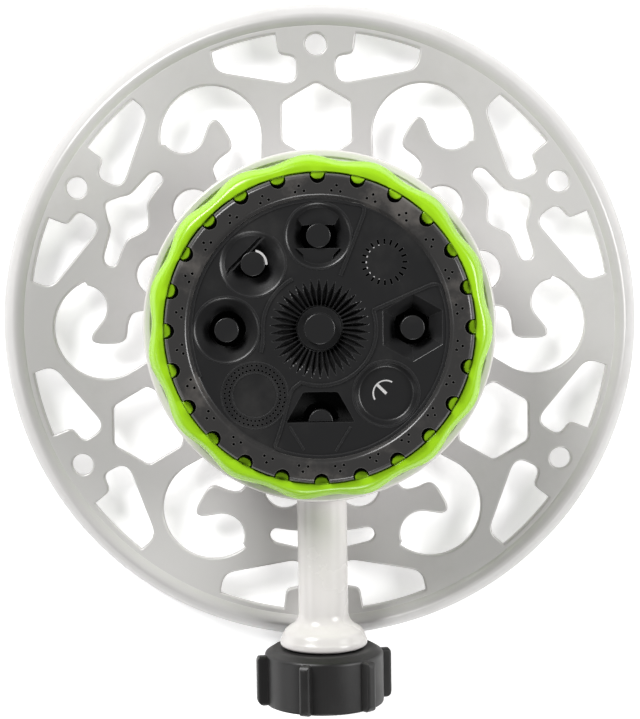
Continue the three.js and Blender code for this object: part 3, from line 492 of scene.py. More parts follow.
def bake(obj):
    """Makes the result of the modifiers the object's own mesh."""
    graph = bpy.context.evaluated_depsgraph_get()
    mesh = bpy.data.meshes.new_from_object(obj.evaluated_get(graph))
    obj.modifiers.clear()
    obj.data = mesh
    return obj


def with_soft_edges(obj, width, segments, angle=30):
    """Rounds every edge that turns by more than the angle."""
    rounding = obj.modifiers.new("soft edges", "BEVEL")
    rounding.width = width
    rounding.segments = segments
    rounding.limit_method = "ANGLE"
    rounding.angle_limit = radians(angle)
    return bake(obj)


def carved(target, operation, *tools):
    """Cuts the tools out of the target, or joins them to it, and removes them."""
    for tool in tools:
        modifier = target.modifiers.new("carve", "BOOLEAN")
        modifier.solver = "MANIFOLD"
        modifier.operation = operation
        modifier.object = tool
    bake(target)
    for tool in tools:
        bpy.data.objects.remove(tool)
    return target


def joined(target, *others):
    """Puts other solids into the same mesh, each still a closed shell of its own."""
    bm = bmesh.new()
    for obj in (target, *others):
        bm.from_mesh(obj.data)
    bm.to_mesh(target.data)
    bm.free()
    for other in others:
        bpy.data.objects.remove(other)
    return target


LEVEL = 0.9995      # upright part of a level face's normal


def level_faces_stay_level(mesh):
    """A level face keeps its own normal at every corner, so long thin triangles shade as one flat surface."""
    normals = [Vector(corner.vector) for corner in mesh.corner_normals]
    for face in mesh.polygons:
        if abs(face.normal.z) > LEVEL:
            for corner in face.loop_indices:
                normals[corner] = Vector(face.normal)
    mesh.normals_split_custom_set(normals)


def piece(obj, name, material, body, slot, *nodes, sharp=32):
    """The last step of every piece: shading, finish, place, and what it rides on and stands for."""
    mesh = obj.data
    mesh.shade_smooth()
    mesh.set_sharp_from_angle(angle=radians(sharp))
    modifier = obj.modifiers.new("flat faces stay flat", "WEIGHTED_NORMAL")
    modifier.keep_sharp = True
    bake(obj)
    obj.name = name
    mesh = obj.data
    mesh.name = name
    mesh.materials.clear()
    mesh.materials.append(material)
    mesh.transform(Matrix.Scale(MM, 4) @ Matrix.Translation((0, CENTRE_Y, 0)))
    mesh.update()
    level_faces_stay_level(mesh)
    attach(obj, body)
    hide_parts(*nodes)
    print(f"{name}: {len(mesh.polygons)} faces")
    return obj


print("tools ready")

# %% [markdown]
# ## Things that repeat
# Wings, screws, notches and perforations stand at even angles round an axis. One Geometry Nodes tree copies
# any small solid round a circle, so a change of count or radius is one number. A second tree winds a wire
# into a helix, for the springs and for the thread of the hose nut.

# %% Two Geometry Nodes trees
def with_real_geometry(tree, geometry, given, result):
    """Ends a tree: copies become real geometry and take the material."""
    real = add_node(tree, "GeometryNodeRealizeInstances", {"Geometry": geometry}).outputs[0]
    inputs = {"Geometry": real, "Material": given.outputs["Material"]}
    done = add_node(tree, "GeometryNodeSetMaterial", inputs)
    tree.links.new(done.outputs[0], result.inputs[0])
    return tree


def make_ring_tree():
    inputs = {
        "Geometry": ("Geometry", None), "Count": ("Int", 8), "Radius": ("Float", 10.0),
        "First angle": ("Float", 0.0), "Material": ("Material", None),
    }
    tree, given, result = new_group("copies_round_a_circle", "GeometryNodeTree", inputs,
                                    {"Geometry": "Geometry"})
    index = add_node(tree, "GeometryNodeInputIndex").outputs[0]
    share = math_node(tree, "DIVIDE", 2 * pi, given.outputs["Count"])
    angle = math_node(tree, "MULTIPLY_ADD", index, share, given.outputs["First angle"])
    x = math_node(tree, "MULTIPLY", math_node(tree, "COSINE", angle), given.outputs["Radius"])
    y = math_node(tree, "MULTIPLY", math_node(tree, "SINE", angle), given.outputs["Radius"])
    place = add_node(tree, "ShaderNodeCombineXYZ", {0: x, 1: y}).outputs[0]
    turn = add_node(tree, "ShaderNodeCombineXYZ", {2: angle}).outputs[0]
    points = add_node(tree, "GeometryNodePoints", {"Count": given.outputs["Count"], "Position": place})
    copies = add_node(tree, "GeometryNodeInstanceOnPoints", {
        "Points": points.outputs[0], "Instance": given.outputs["Geometry"], "Rotation": turn})
    return with_real_geometry(tree, copies.outputs[0], given, result)


def make_helix_tree():
    inputs = {
        "Geometry": ("Geometry", None), "Radius": ("Float", 5.0), "Wire": ("Float", 0.3),
        "Height": ("Float", 4.0), "Turns": ("Float", 4.0), "Material": ("Material", None),
    }
    tree, given, result = new_group("wound_wire", "GeometryNodeTree", inputs, {"Geometry": "Geometry"})
    line = add_node(tree, "GeometryNodeCurveSpiral", {
        "Resolution": 40, "Rotations": given.outputs["Turns"], "Start Radius": given.outputs["Radius"],
        "End Radius": given.outputs["Radius"], "Height": given.outputs["Height"]})
    section = add_node(tree, "GeometryNodeCurvePrimitiveCircle", {
        "Resolution": 12, "Radius": given.outputs["Wire"]})
    wire = add_node(tree, "GeometryNodeCurveToMesh", {
        "Curve": line.outputs[0], "Profile Curve": section.outputs[0], "Fill Caps": True})
    return with_real_geometry(tree, wire.outputs[0], given, result)


RING_TREE = make_ring_tree()
HELIX_TREE = make_helix_tree()


def grown(obj, tree, **values):
    """Runs a Geometry Nodes tree on a working object, with its inputs by name, and keeps the result."""
    modifier = obj.modifiers.new(tree.name, "NODES")
    modifier.node_group = tree
    for label, value in values.items():
        socket = tree.interface.items_tree[label.replace("_", " ")]
        modifier[socket.identifier] = value
    return bake(obj)


def ring_of(obj, count, radius, first=0.0, material=None):
    values = {"Count": count, "Radius": float(radius), "First angle": radians(first), "Material": material}
    return grown(obj, RING_TREE, **values)


def wound(name, radius, wire, low, high, turns, material):
    """A wire wound round Z between two heights."""
    seed = block(name, -1, 1, -1, 1, -1, 1)
    values = {"Radius": radius, "Wire": wire, "Height": high - low - 2 * wire, "Turns": turns}
    return moved(grown(seed, HELIX_TREE, Material=material, **values), z=low + wire)


print("trees:", RING_TREE.name, HELIX_TREE.name)

# %% [markdown]
# ## The cast base
# The real base is one casting: an upturned rim and a flat openwork web with leaves, scrolls, hexagons and
# blobs, repeated every 60 or 120 degrees. The web could be cut with booleans, but its edges are softly
# rounded, and that is easier with walls swept round each outline from a small section. The flat top and
# bottom are then filled between the walls.

# %% A pierced plate with rounded edges
INSIDE = 1      # the kind of fill that keeps to the inside of the outer loop


def outline_normals(outline):
    """Directions into the metal, which lies to the left of the outline's way round."""
    normals = []
    for i in range(len(outline)):
        way = Vector(outline[(i + 1) % len(outline)]) - Vector(outline[i - 1])
        normals.append(Vector((-way.y, way.x)).normalized())
    return normals


def anticlockwise(outline):
    area = sum(a[0] * b[1] - b[0] * a[1] for a, b in zip(outline, outline[1:] + outline[:1]))
    return outline if area > 0 else outline[::-1]


def encloses(outline, x, y):
    inside = False
    for (x0, y0), (x1, y1) in zip(outline, outline[1:] + outline[:1]):
        if (y0 > y) != (y1 > y) and x < x0 + (x1 - x0) * (y - y0) / (y1 - y0):
            inside = not inside
    return inside


def fill_between(bm, outer, *holes):
    """Fills a flat region between an outer loop of vertices and its holes with triangles."""
    verts, edges = [], []
    for loop in (outer, *holes):
        first = len(verts)
        edges += [(first + i, first + (i + 1) % len(loop)) for i in range(len(loop))]
        verts += loop
    flat_places = [v.co.to_2d() for v in verts]
    places, _, triangles, origins, _, _ = delaunay_2d_cdt(flat_places, edges, [], INSIDE, 1e-7)
    source = [verts[found[0]] for found in origins]
    outlines = [[tuple(v.co.to_2d()) for v in hole] for hole in holes]
    reaches = [(min(x for x, _ in o), max(x for x, _ in o), min(y for _, y in o), max(y for _, y in o))
               for o in outlines]
    for corners in triangles:
        x, y = sum((places[k] for k in corners), Vector((0, 0))) / 3
        if not any(left < x < right and low < y < high and encloses(outline, x, y)
                   for outline, (left, right, low, high) in zip(outlines, reaches)):
            bm.faces.new([source[k] for k in corners])


def pierced_plate(name, outer, holes, low, high, rounding):
    """A flat plate whose outlines all have rounded top edges."""
    bm = bmesh.new()
    section = [(rounding * (1 - sin(t)), high - rounding * (1 - cos(t))) for t in
               (radians(a) for a in (0, 25, 45, 65, 90))]
    section += [(0, low + 0.4), (0.4, low)]
    tops, bottoms = [], []
    for outline in [anticlockwise(outer)] + [anticlockwise(hole)[::-1] for hole in holes]:
        inward = outline_normals(outline)
        rings = [
            [bm.verts.new((x + inset * n.x, y + inset * n.y, z)) for (x, y), n in zip(outline, inward)]
            for inset, z in section
        ]
        for upper, lower in zip(rings, rings[1:]):
            for i in range(len(outline)):
                j = (i + 1) % len(outline)
                bm.faces.new((upper[i], upper[j], lower[j], lower[i]))
        tops.append(rings[0])
        bottoms.append(rings[-1])
    fill_between(bm, *tops)
    fill_between(bm, *bottoms)
    return solid(name, bm)


# %% Openwork outlines, each drawn for an axis that points along +Y
RIM_INNER = RING_RADIUS - 8
OPENING_LIMIT = RIM_INNER - 1.4
HEX_AXES = (90, 210, 330)
BLOB_AXES = (30, 150, 270)
MOUNT_HOLE_CIRCLE = 86.6
MOUNT_HOLE_RADIUS = 2.75
BASE_SCREW_CIRCLE = 40
HUB_RADIUS = 33


def on_circle(radius, turn):
    return radius * cos(turn), radius * sin(turn)


def within_limit(outline):
    """The outline inside the limit; where it would pass outside, it runs along the limit's arc."""
    dense = []
    for (x0, y0), (x1, y1) in zip(outline, outline[1:] + outline[:1]):
        count = max(1, round(math.dist((x0, y0), (x1, y1)) / 1.2))
        dense += [(x0 + (x1 - x0) * i / count, y0 + (y1 - y0) * i / count) for i in range(count)]
    start = [math.hypot(*p) < OPENING_LIMIT for p in dense].index(True)
    ring = dense[start:] + dense[:start + 1]
    kept = []
    for (x0, y0), (x1, y1) in zip(ring, ring[1:]):
        leaves, arrives = math.hypot(x1, y1) >= OPENING_LIMIT, math.hypot(x0, y0) >= OPENING_LIMIT
        if not arrives:
            kept.append((x0, y0))
            if leaves:
                left_at = math.atan2(y1, x1)
        elif not leaves:
            turn = math.atan2(y0, x0) - left_at
            count = max(1, round(abs(turn) * OPENING_LIMIT / 1.5))
            kept += [on_circle(OPENING_LIMIT, left_at + turn * i / count) for i in range(count + 1)]
    return kept


def leaf():
    return within_limit(softened(
        [(13.4, 96), (11.7, 83.6, 1.8), (6, 82.8, 2.6), (6.4, 74.2, 4.4), (31.2, 78.5, 3.4), (34.6, 96)]))


def scroll():
    hook = [(34.5, 60.2), (33.4, 62.7), (31.8, 63.8), (30.3, 63), (28.8, 61), (26.8, 57.2), (27, 54.4),
            (30.5, 51.5), (32.4, 48.6), (31.4, 45)]
    window = arc(33, 58.5, 15.7, 178, -8, 44)
    curl = arc(41.8, 60.5, 6.9, -38, -160, 16)
    return [(17.6, 45), (17.4, 55)] + window + curl + curved(hook, 5)


def hexagon():
    corners = arc(0, 62.65, 12.35, 30, 330, 5)
    return softened([(x, y, 1.4) for x, y in corners])


def blob():
    half = [(0, 76.3), (3.5, 73.9), (6.2, 71.2), (11, 69.8), (15, 68.7), (16.4, 66.6), (15, 64.5),
            (10.5, 65), (6.3, 65.1), (2.9, 62.9), (0, 61.6)]
    return curved(half + [(-x, y) for x, y in half[-2:0:-1]], 5, closed=True)


def openings():
    holes = []
    for axes, outline, both_sides in (
        (HEX_AXES + BLOB_AXES, leaf(), True), (HEX_AXES, scroll(), True), (HEX_AXES, hexagon(), False),
        (BLOB_AXES, blob(), False), (BLOB_AXES, circle(6.3, 40, 11.7, 51.6), True),
        (HEX_AXES + BLOB_AXES, circle(MOUNT_HOLE_RADIUS + 0.5, 32, 0, MOUNT_HOLE_CIRCLE), False),
        (HEX_AXES, circle(2.1, 24, 0, BASE_SCREW_CIRCLE), False),
    ):
        sides = (False, True) if both_sides else (False,)
        for axis in axes:
            holes += [turned_outline(outline, axis - 90, side) for side in sides]
    return holes + [circle(HUB_RADIUS, ROUND)]


# %% The base
def make_base():
    under = WEB_TOP - WEB_THICKNESS
    crest = RING_RADIUS - 4.6
    rim_section = softened([
        (RING_RADIUS - 2.8, 0, 0.6), (RING_RADIUS, 0, 0.5), (RING_RADIUS - 0.5, 2.6, 1.5),
        (RING_RADIUS - 2.3, 7, 1.5), (crest, RIM_HEIGHT, 1.0), (crest - 1.6, RIM_HEIGHT - 0.1, 0.8),
        (RIM_INNER, WEB_TOP - 0.1, 0.8), (RIM_INNER - 0.5, WEB_TOP - 1.2), (RIM_INNER - 0.3, under + 0.1),
        (crest - 1.4, under + 0.6, 1.0), (RING_RADIUS - 3.8, 4.2, 1.0)])
    rim = lathe("rim", rim_section, 2 * ROUND)
    web = pierced_plate("web", circle(RIM_INNER + 0.8, 2 * ROUND), openings(), under, WEB_TOP, 0.75)
    piece(joined(web, rim), "openwork_base", SILVER, "base", "silver_paint", "base_plate")


make_base()

# %% [markdown]
# ## The turret housing and its inlet
# The housing is a moulded cup, upside down, with a deck that carries the pivot and the water port. Round
# pieces are turned, and the deck's windows stay open: light comes up through them into one of the outlets.
# The inlet is turned along its own axis and ends in a bell, against which the hose nut turns.

# %% The housing
def make_housing():
    rise = HOUSING_TOP - housing_low.z
    deck_low = DECK_TOP - 3
    step = HOUSING_RADIUS - FOOT_RADIUS
    outside = [(FOOT_RADIUS, housing_low.z), (FOOT_RADIUS + 0.1 * step, housing_low.z + 0.12 * rise, 2),
               (FOOT_RADIUS + 0.4 * step, housing_low.z + 0.42 * rise, 4),
               (FOOT_RADIUS + 0.78 * step, housing_low.z + 0.69 * rise, 4),
               (HOUSING_RADIUS, HOUSING_TOP - 3.2, 2), (HOUSING_RADIUS, HOUSING_TOP, 1.1),
               (HOUSING_RADIUS - 2.3, HOUSING_TOP, 0.6), (HOUSING_RADIUS - 2.3, DECK_TOP, 0.4),
               (36, DECK_TOP, 0.4), (36, deck_low, 0.4), (HOUSING_RADIUS - 3.2, deck_low, 0.5)]
    inside = [(r - 2.8, z) for r, z, *_ in outside[3::-1]]
    shell = lathe("housing", softened(outside + inside), ROUND)
    pivot = lathe("pivot", softened([
        (0, deck_low - 8), (9, deck_low - 8, 0.8), (9, DECK_TOP, 0.3), (6, DECK_TOP, 0.3),
        (6, DECK_TOP + 8.9, 0.6), (0, DECK_TOP + 8.9)], False), 64)
    spokes = ring_of(block("spoke", -15.6, 14.5, -3.5, 3.5, deck_low - 1.5, DECK_TOP - 0.02), 4, 22.5)
    duct_inner, duct_outer = OUTLET_CIRCLE - 8.4, FOOT_RADIUS - 1
    duct = tipped_along_inlet(lathe("duct", softened([
        (0, duct_inner), (10.4, duct_inner, 1.5), (10.4, duct_outer), (0, duct_outer)], False), 64))
    riser = moved(cylinder("riser", 10.4, TUBE_Z, DECK_TOP - 0.01, 64), y=-OUTLET_CIRCLE)
    boss = lathe("boss", [
        (0, housing_low.z), (5.6, housing_low.z), (5.2, housing_low.z + 12), (0, housing_low.z + 12)], 32)
    bosses = ring_of(boss, 3, BASE_SCREW_CIRCLE, 90)
    for part in (duct, riser, pivot, spokes, bosses):
        carved(shell, "UNION", part)
    pocket = moved(cylinder("pocket", 7.9, POCKET_LOW, 40, 64), y=-OUTLET_CIRCLE)
    way = moved(cylinder("way", 3.8, TUBE_Z, 40, 48), y=-OUTLET_CIRCLE)
    socket_end = OUTLET_CIRCLE + 10.3
    socket = tipped_along_inlet(lathe("socket", [
        (0, OUTLET_CIRCLE - 3.8), (3.8, OUTLET_CIRCLE - 3.8), (3.8, socket_end), (7.9, socket_end),
        (7.9, 60), (0, 60)], 64))
    screw_hole = cylinder("hole", 2.1, 0, housing_low.z + 10.3, 24)
    detent_hole = moved(cylinder("detent", 2.3, 23, 40, 32),
                        *on_circle(DETENT_CIRCLE, radians(DETENT_TURN)))
    screw_holes = ring_of(screw_hole, 3, BASE_SCREW_CIRCLE, 90)
    carved(shell, "DIFFERENCE", pocket, way, socket, screw_holes, detent_hole)
    piece(shell, "turret_shell", GREY, "base", "grey_plastic", "turret_housing")


POCKET_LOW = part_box("port_spring")[0].z / MM - 0.3
make_housing()


# %% The inlet tube with its bell
def make_inlet():
    reach = CENTRE_Y - tube_low.y - 5.6
    bell = reach - 9
    profile = softened([
        (5.6, OUTLET_CIRCLE + 10.6), (7.6, OUTLET_CIRCLE + 10.6, 0.4), (7.6, bell, 1.5),
        (9.0, bell + 2.2, 1.2), (12.0, bell + 3.8, 1.6), (12.9, bell + 6.3, 1.5),
        (13.3, reach - 2, 0.8), (13.3, reach - 0.6, 0.5),
        (12.3, reach, 0.6), (6.8, reach, 0.3), (6.8, reach + 3.6, 0.3), (9.6, reach + 3.6, 0.5),
        (9.6, reach + 5.6, 0.5), (5.6, reach + 5.6, 0.3)])
    tube = tipped_along_inlet(lathe("tube", profile, 96))
    piece(tube, "inlet_pipe", GREY, "base", "grey_plastic", "inlet_tube")


make_inlet()

# %% [markdown]
# ## The hose nut
# A hose is screwed into the nut by hand, so the nut has wings. Its body is turned, and one wing is copied
# round it by the ring tree. The ends of the wings are rounded by cutting them to a second turned shape. The
# thread inside is a wound ridge along the bore.

# %% The nut, its thread and its washer
WINGS = 6
FIRST_WING = -73      # degrees round the nut's axis


def make_nut():
    start, end = NUT_START, NUT_END
    body_radius, wing_radius, bore, thread = 18.2, 21.1, 7.1, 12.9
    body = lathe("nut", softened([
        (bore, start, 0.4), (15.6, start, 0.7), (body_radius, start + 1.6, 0.8), (body_radius, end, 0.7),
        (thread + 0.9, end, 0.4), (thread, end - 1.2, 0.3), (thread, start + 3, 0.3),
        (bore, start + 3, 0.4)]), ROUND)
    wing = block("wing", -2.2, 2.9, -1.6, 1.6, start + 1.7, end - 0.02)
    wings = ring_of(with_soft_edges(wing, 0.9, 4), WINGS, body_radius, FIRST_WING)
    envelope = lathe("envelope", softened([
        (0, start + 1.2), (wing_radius, start + 1.2, 2.6), (wing_radius, end - 0.01, 2.6), (0, end - 0.01)],
        False, 8), ROUND)
    carved(wings, "INTERSECT", envelope)
    carved(body, "UNION", wings)
    ridge = wound("thread", thread + 0.25, 0.75, start + 8, end - 1.4, 3.2, NUT)
    piece(tipped_along_inlet(joined(body, ridge)), "winged_hose_nut", NUT, "nut", "nut_plastic", "hose_nut")
    washer = lathe("washer", softened([
        (7.6, start + 5.6, 0.5), (12.6, start + 5.6, 0.5),
        (12.6, start + 8.6, 0.5), (7.6, start + 8.6, 0.5)]), 64)
    piece(tipped_along_inlet(washer), "rubber_hose_washer", RUBBER, "nut", "rubber", "hose_washer")


make_nut()

# %% [markdown]
# ## The grip ring
# The lime ring is what a hand turns. Its outside is a rounded band whose radius swells and shrinks in a wave,
# fifteen times round. A turned band comes first, and a Geometry Nodes tree then pulls each point in by the
# wave, the more the further out it lies. The small nubs that lock it to the dial are copies round a circle.

# %% The wavy ring
def make_wave_tree():
    inputs = {
        "Geometry": ("Geometry", None), "Lobes": ("Int", 15), "Depth": ("Float", 1.8),
        "Crest": ("Float", 0.0), "Bore": ("Float", 44.9), "Width": ("Float", 4.8),
        "Material": ("Material", None),
    }
    tree, given, result = new_group("wavy_band", "GeometryNodeTree", inputs, {"Geometry": "Geometry"})
    place = add_node(tree, "GeometryNodeInputPosition").outputs[0]
    axes = add_node(tree, "ShaderNodeSeparateXYZ", {0: place}).outputs
    flat = add_node(tree, "ShaderNodeCombineXYZ", {0: axes[0], 1: axes[1]}).outputs[0]
    radius = add_node(tree, "ShaderNodeVectorMath", {0: flat}, operation="LENGTH").outputs["Value"]
    angle = math_node(tree, "SUBTRACT", math_node(tree, "ARCTAN2", axes[1], axes[0]), given.outputs["Crest"])
    wave = math_node(tree, "COSINE", math_node(tree, "MULTIPLY", angle, given.outputs["Lobes"]))
    valley = math_node(tree, "MULTIPLY_ADD", wave, -0.5, 0.5)
    beyond = math_node(tree, "SUBTRACT", radius, given.outputs["Bore"])
    share = math_node(tree, "MAXIMUM", math_node(tree, "DIVIDE", beyond, given.outputs["Width"]), 0.0)
    pull = math_node(tree, "MULTIPLY", math_node(tree, "MULTIPLY", valley, share), given.outputs["Depth"])
    outward = add_node(tree, "ShaderNodeVectorMath", {0: flat}, operation="NORMALIZE").outputs[0]
    inward = math_node(tree, "MULTIPLY", pull, -1.0)
    offset = add_node(tree, "ShaderNodeVectorMath", {0: outward, "Scale": inward},
                      operation="SCALE").outputs[0]
    pulled = add_node(tree, "GeometryNodeSetPosition", {
        "Geometry": given.outputs["Geometry"], "Offset": offset})
    return with_real_geometry(tree, pulled.outputs[0], given, result)


WAVE_TREE = make_wave_tree()
NOTCHES = 24
LOBES = 15
FIRST_LOBE = 94       # degrees
WAVE_DEPTH = 1.6
GRIP_BREADTH = 5.9    # from the dial to the top of a wave


def make_grip():
    bore, outer = DIAL_RADIUS + 0.4, DIAL_RADIUS + GRIP_BREADTH
    low, top = grip_low.z, grip_high.z
    ledge_top, ledge_low = BAND_BOTTOM - 0.3, BAND_BOTTOM - 1.9
    profile = softened([
        (bore, low, 0.4), (outer - 1.7, low, 0.9), (outer, low + 4.5, 2.5), (outer, top - 3.9, 2.8),
        (outer - 2.6, top, 1.9), (bore, top, 0.5), (bore, ledge_top), (bore - 1.7, ledge_top, 0.2),
        (bore - 1.7, ledge_low, 0.2), (bore, ledge_low)], steps=8)
    ring = grown(lathe("grip", profile, 480), WAVE_TREE, Lobes=LOBES, Depth=WAVE_DEPTH,
                 Crest=radians(FIRST_LOBE), Bore=bore, Width=outer - bore, Material=LIME)
    nub_outline = softened([(0.9, -2.0), (0.9, 2.0), (-1.1, 2.0, 0.5), (-2.1, 1.0, 0.9), (-2.1, -1.0, 0.9),
                            (-1.1, -2.0, 0.5)])
    nub = prism("nub", nub_outline, ledge_top - 0.2, top - 0.6)
    nubs = ring_of(with_soft_edges(nub, 0.35, 3, 40), NOTCHES, bore)
    piece(joined(ring, nubs), "lime_grip", LIME, "dial", "lime_plastic", "grip_ring", sharp=40)


make_grip()

# %% [markdown]
# ## The dial plate
# The plate carries eight outlets, each with its own spray, round a fluted centre. It starts as one turned
# blank with eight cups under it. Each outlet is then cut with tools of its own shape, and the round ones
# flare out at the top to leave a rounded lip. The notches and fine perforations are rings of copies.

# %% The blank and the tools that every outlet shares
OUTLETS = {"east": 0, "north_east": 45, "north": 90, "north_west": 135,
           "west": 180, "south_west": 225, "south": 270, "south_east": 315}
MOUTH = 9.1
WELL = 5.4
PIN_RADIUS = 3.5
WELL_TOP = FACE_TOP - 4.6
STAR_RADIUS = 14.4
STAR_WELL = 6.8
STAR_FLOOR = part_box("centre_cap")[0].z / MM + 1.5


def on_outlet(obj, name, turn=0.0):
    angle = radians(OUTLETS[name])
    return moved(obj, OUTLET_CIRCLE * cos(angle), OUTLET_CIRCLE * sin(angle), 0, turn)


def funnel(mouth, well, sides=96, lip=1.0, floor=CUP_BOTTOM - 1):
    """A cutter that narrows from its mouth to a well, with a flared lip."""
    profile = [(0, floor), (well, floor), (well, WELL_TOP)]
    flare = ((-0.35, 0.45), (0, 0.2), (0.3, 0.05))
    profile += [(mouth + lip * out, FACE_TOP - lip * down) for out, down in flare]
    profile += [(mouth + lip * 0.3, FACE_TOP + 3), (0, FACE_TOP + 3)]
    return lathe("funnel", profile, sides)


def ledge(outline, top, low=CUP_BOTTOM + 0.5):
    """A block that fills part of an outlet again, with softened edges."""
    return with_soft_edges(prism("ledge", outline, low, top), 0.22, 2)


def make_blank():
    band_low = BAND_INNER - 1
    blank = lathe("dial", softened([
        (0, FACE_BOTTOM), (band_low, FACE_BOTTOM), (band_low, BAND_BOTTOM), (DIAL_RADIUS, BAND_BOTTOM, 0.3),
        (DIAL_RADIUS, DIAL_TOP - 1.1, 0.5), (DIAL_RADIUS - 1, DIAL_TOP, 0.6),
        (BAND_INNER + 0.2, DIAL_TOP, 0.7), (band_low, FACE_TOP, 0.4), (0, FACE_TOP)], False), 2 * ROUND)
    centre = cylinder("centre", 15, STAR_FLOOR - 1.4, FACE_TOP - 1, 64)
    boss_low = DIAL_BOTTOM + 2.5
    boss = cylinder("boss", 3, boss_low, FACE_TOP - 1, 24)
    for part in (centre, ring_of(boss, 4, DIAL_SCREW_CIRCLE, DIAL_SCREW_TURN)):
        carved(blank, "UNION", part)
    for name in OUTLETS:
        cup = cylinder("cup", 10, CUP_BOTTOM, FACE_TOP - 1, 64)
        carved(blank, "UNION", on_outlet(cup, name))
    return blank


dial = make_blank()
print("blank faces:", len(dial.data.polygons))

# %% [markdown]
# ## The fluted centre
# Thirty-eight V-shaped flutes run from pointed tips down into a well. They follow a rule: at each place the
# flute's depth grows towards the centre and its walls rise at one slope. So the cutter's underside is a
# height field on a polar grid, and the tips come out sharp by themselves.

# %% The star cutter
FLUTES = 38
FLUTE_SLOPE = 0.62      # fall towards the centre, per millimetre
FLUTE_WALL = 2.7        # rise of a flute's wall, per millimetre across


def star_cutter():
    per_flute = 8
    steps = FLUTES * per_flute
    radii = [STAR_WELL + (STAR_RADIUS + 0.3 - STAR_WELL) * i / 16 for i in range(17)]
    bm = bmesh.new()
    above = FACE_TOP + 3

    def height(radius, step):
        across = abs((step % per_flute) / per_flute - 0.5)
        half_pitch = 2 * pi * radius / FLUTES
        depth = (STAR_RADIUS - radius) * FLUTE_SLOPE - across * half_pitch * FLUTE_WALL
        return FACE_TOP + 0.02 - max(0, depth)

    def ring(radius, level):
        turns = [2 * pi * k / steps for k in range(steps)]
        return [bm.verts.new((radius * cos(t), radius * sin(t), level(k))) for k, t in enumerate(turns)]

    def skin(low, high):
        for k in range(steps):
            j = (k + 1) % steps
            bm.faces.new((low[k], low[j], high[j], high[k]))

    rings = [ring(STAR_WELL, lambda k: STAR_FLOOR)]
    rings += [ring(r, lambda k, r=r: height(r, k)) for r in radii]
    rings.append(ring(STAR_RADIUS + 0.3, lambda k: above))
    for low, high in zip(rings, rings[1:]):
        skin(low, high)
    bm.faces.new(rings[0][::-1])
    bm.faces.new(rings[-1])
    return solid("star", bm)


carved(dial, "DIFFERENCE", star_cutter())
print("with the fluted centre:", len(dial.data.polygons))

# %% [markdown]
# ## The eight outlets
# North, west and north-west are cones round a pin, north and north-west partly closed by ledges. East is a
# hexagonal funnel. South-east is a flat-bottomed dish with a T-shaped slit, and south a wide fan slot under a
# ledge. North-east is a ring of short slots, and south-west two rings of fine holes between thin circles.

# %% Cones, hexagon, dish and fan
def cut_outlets():
    cutters = [
        on_outlet(funnel(MOUTH, WELL), "north"),
        on_outlet(funnel(MOUTH, WELL), "west"),
        on_outlet(funnel(MOUTH, PIN_RADIUS + 0.6), "north_west"),
        on_outlet(funnel(MOUTH + 0.7, WELL + 0.4, 6, lip=0.35), "east", 30),
    ]
    dish = lathe("dish", softened([
        (0, FACE_TOP - 1.6), (7.8, FACE_TOP - 1.6, 0.5), (9.0, FACE_TOP - 0.05, 0.4),
        (9.3, FACE_TOP + 3), (0, FACE_TOP + 3)], False), 96)
    slit = block("slit", -0.42, 0.42, -0.2, 3.7, CUP_BOTTOM - 1, FACE_TOP)
    bow = prism("bow", arc(0, 0, 3.9, 15, 165, 24) + arc(0, 0, 3.45, 165, 15, 24), CUP_BOTTOM - 1, FACE_TOP)
    fan = prism("fan", softened([(-10, -0.2, 0.6), (9.8, -0.2, 0.6), (5, 8.6, 0.8), (-5, 8.6, 0.8)]),
                CUP_BOTTOM + 1.5, FACE_TOP + 3)
    port = cylinder("port", WELL - 0.2, CUP_BOTTOM - 1, CUP_BOTTOM + 2.5, 48)
    cutters += [on_outlet(dish, "south_east"), on_outlet(slit, "south_east", 45),
                on_outlet(bow, "south_east", 45), on_outlet(fan, "south"), on_outlet(port, "south")]
    for name, radius in (("south_east", WELL), ("north_east", 7.6), ("south_west", 8.8)):
        room = cylinder("room", radius, CUP_BOTTOM - 1, FACE_TOP - 2.6, 64)
        cutters.append(on_outlet(room, name))
    carved(dial, "DIFFERENCE", *cutters)


cut_outlets()
print("with outlets:", len(dial.data.polygons))


# %% Rings of slots, holes and notches
def hole(radius, low=CUP_BOTTOM + 1, sides=12):
    return cylinder("hole", radius, low, DIAL_TOP + 2, sides)


def cut_repeats():
    slot = prism("slot", softened([
        (-0.85, -0.28, 0.2), (0.85, -0.28, 0.2), (0.85, 0.28, 0.2), (-0.85, 0.28, 0.2)]),
        CUP_BOTTOM + 1, DIAL_TOP + 2)
    notch = prism("notch", softened([
        (2.5, -2.5), (2.5, 2.5), (0.2, 2.4, 0.4), (-2.1, 2.1, 1.9), (-3.3, 0, 1.2),
        (-2.1, -2.1, 1.9), (0.2, -2.4, 0.4)]), BAND_BOTTOM - 1, DIAL_TOP + 2)
    jets = [ring_of(hole(0.32, sides=8), 40, radius, first) for radius, first in ((7.35, 0), (8.65, 4.5))]
    band_low = DIAL_TOP - 2.4
    clusters = [ring_of(hole(0.42, band_low), NOTCHES, radius, first)
                for radius, first in ((41.2, 7.5), (39.6, 7.5 - 1.85), (39.6, 7.5 + 1.85))]
    carved(dial, "DIFFERENCE", on_outlet(ring_of(slot, 20, 5.85), "north_east"),
           *(on_outlet(jet, "south_west") for jet in jets), *clusters, ring_of(notch, NOTCHES, DIAL_RADIUS))


cut_repeats()
print("with slots, jets, perforations and notches:", len(dial.data.polygons))

# %% [markdown]
# ## Ledges and ridges
# Thin raised lines divide the face into sectors, and each closes round its outlets. A ridge follows a path,
# so its rounded section is swept along the path's points. They stand a little into the face, so that no gap
# shows, as the mould would make them in one piece with it.

# %% Ridges
RIDGE_WIDTH = 0.95
RIDGE_HEIGHT = 0.45
RIDGE_ARC = 36.9
INNER_ARC = 16.3


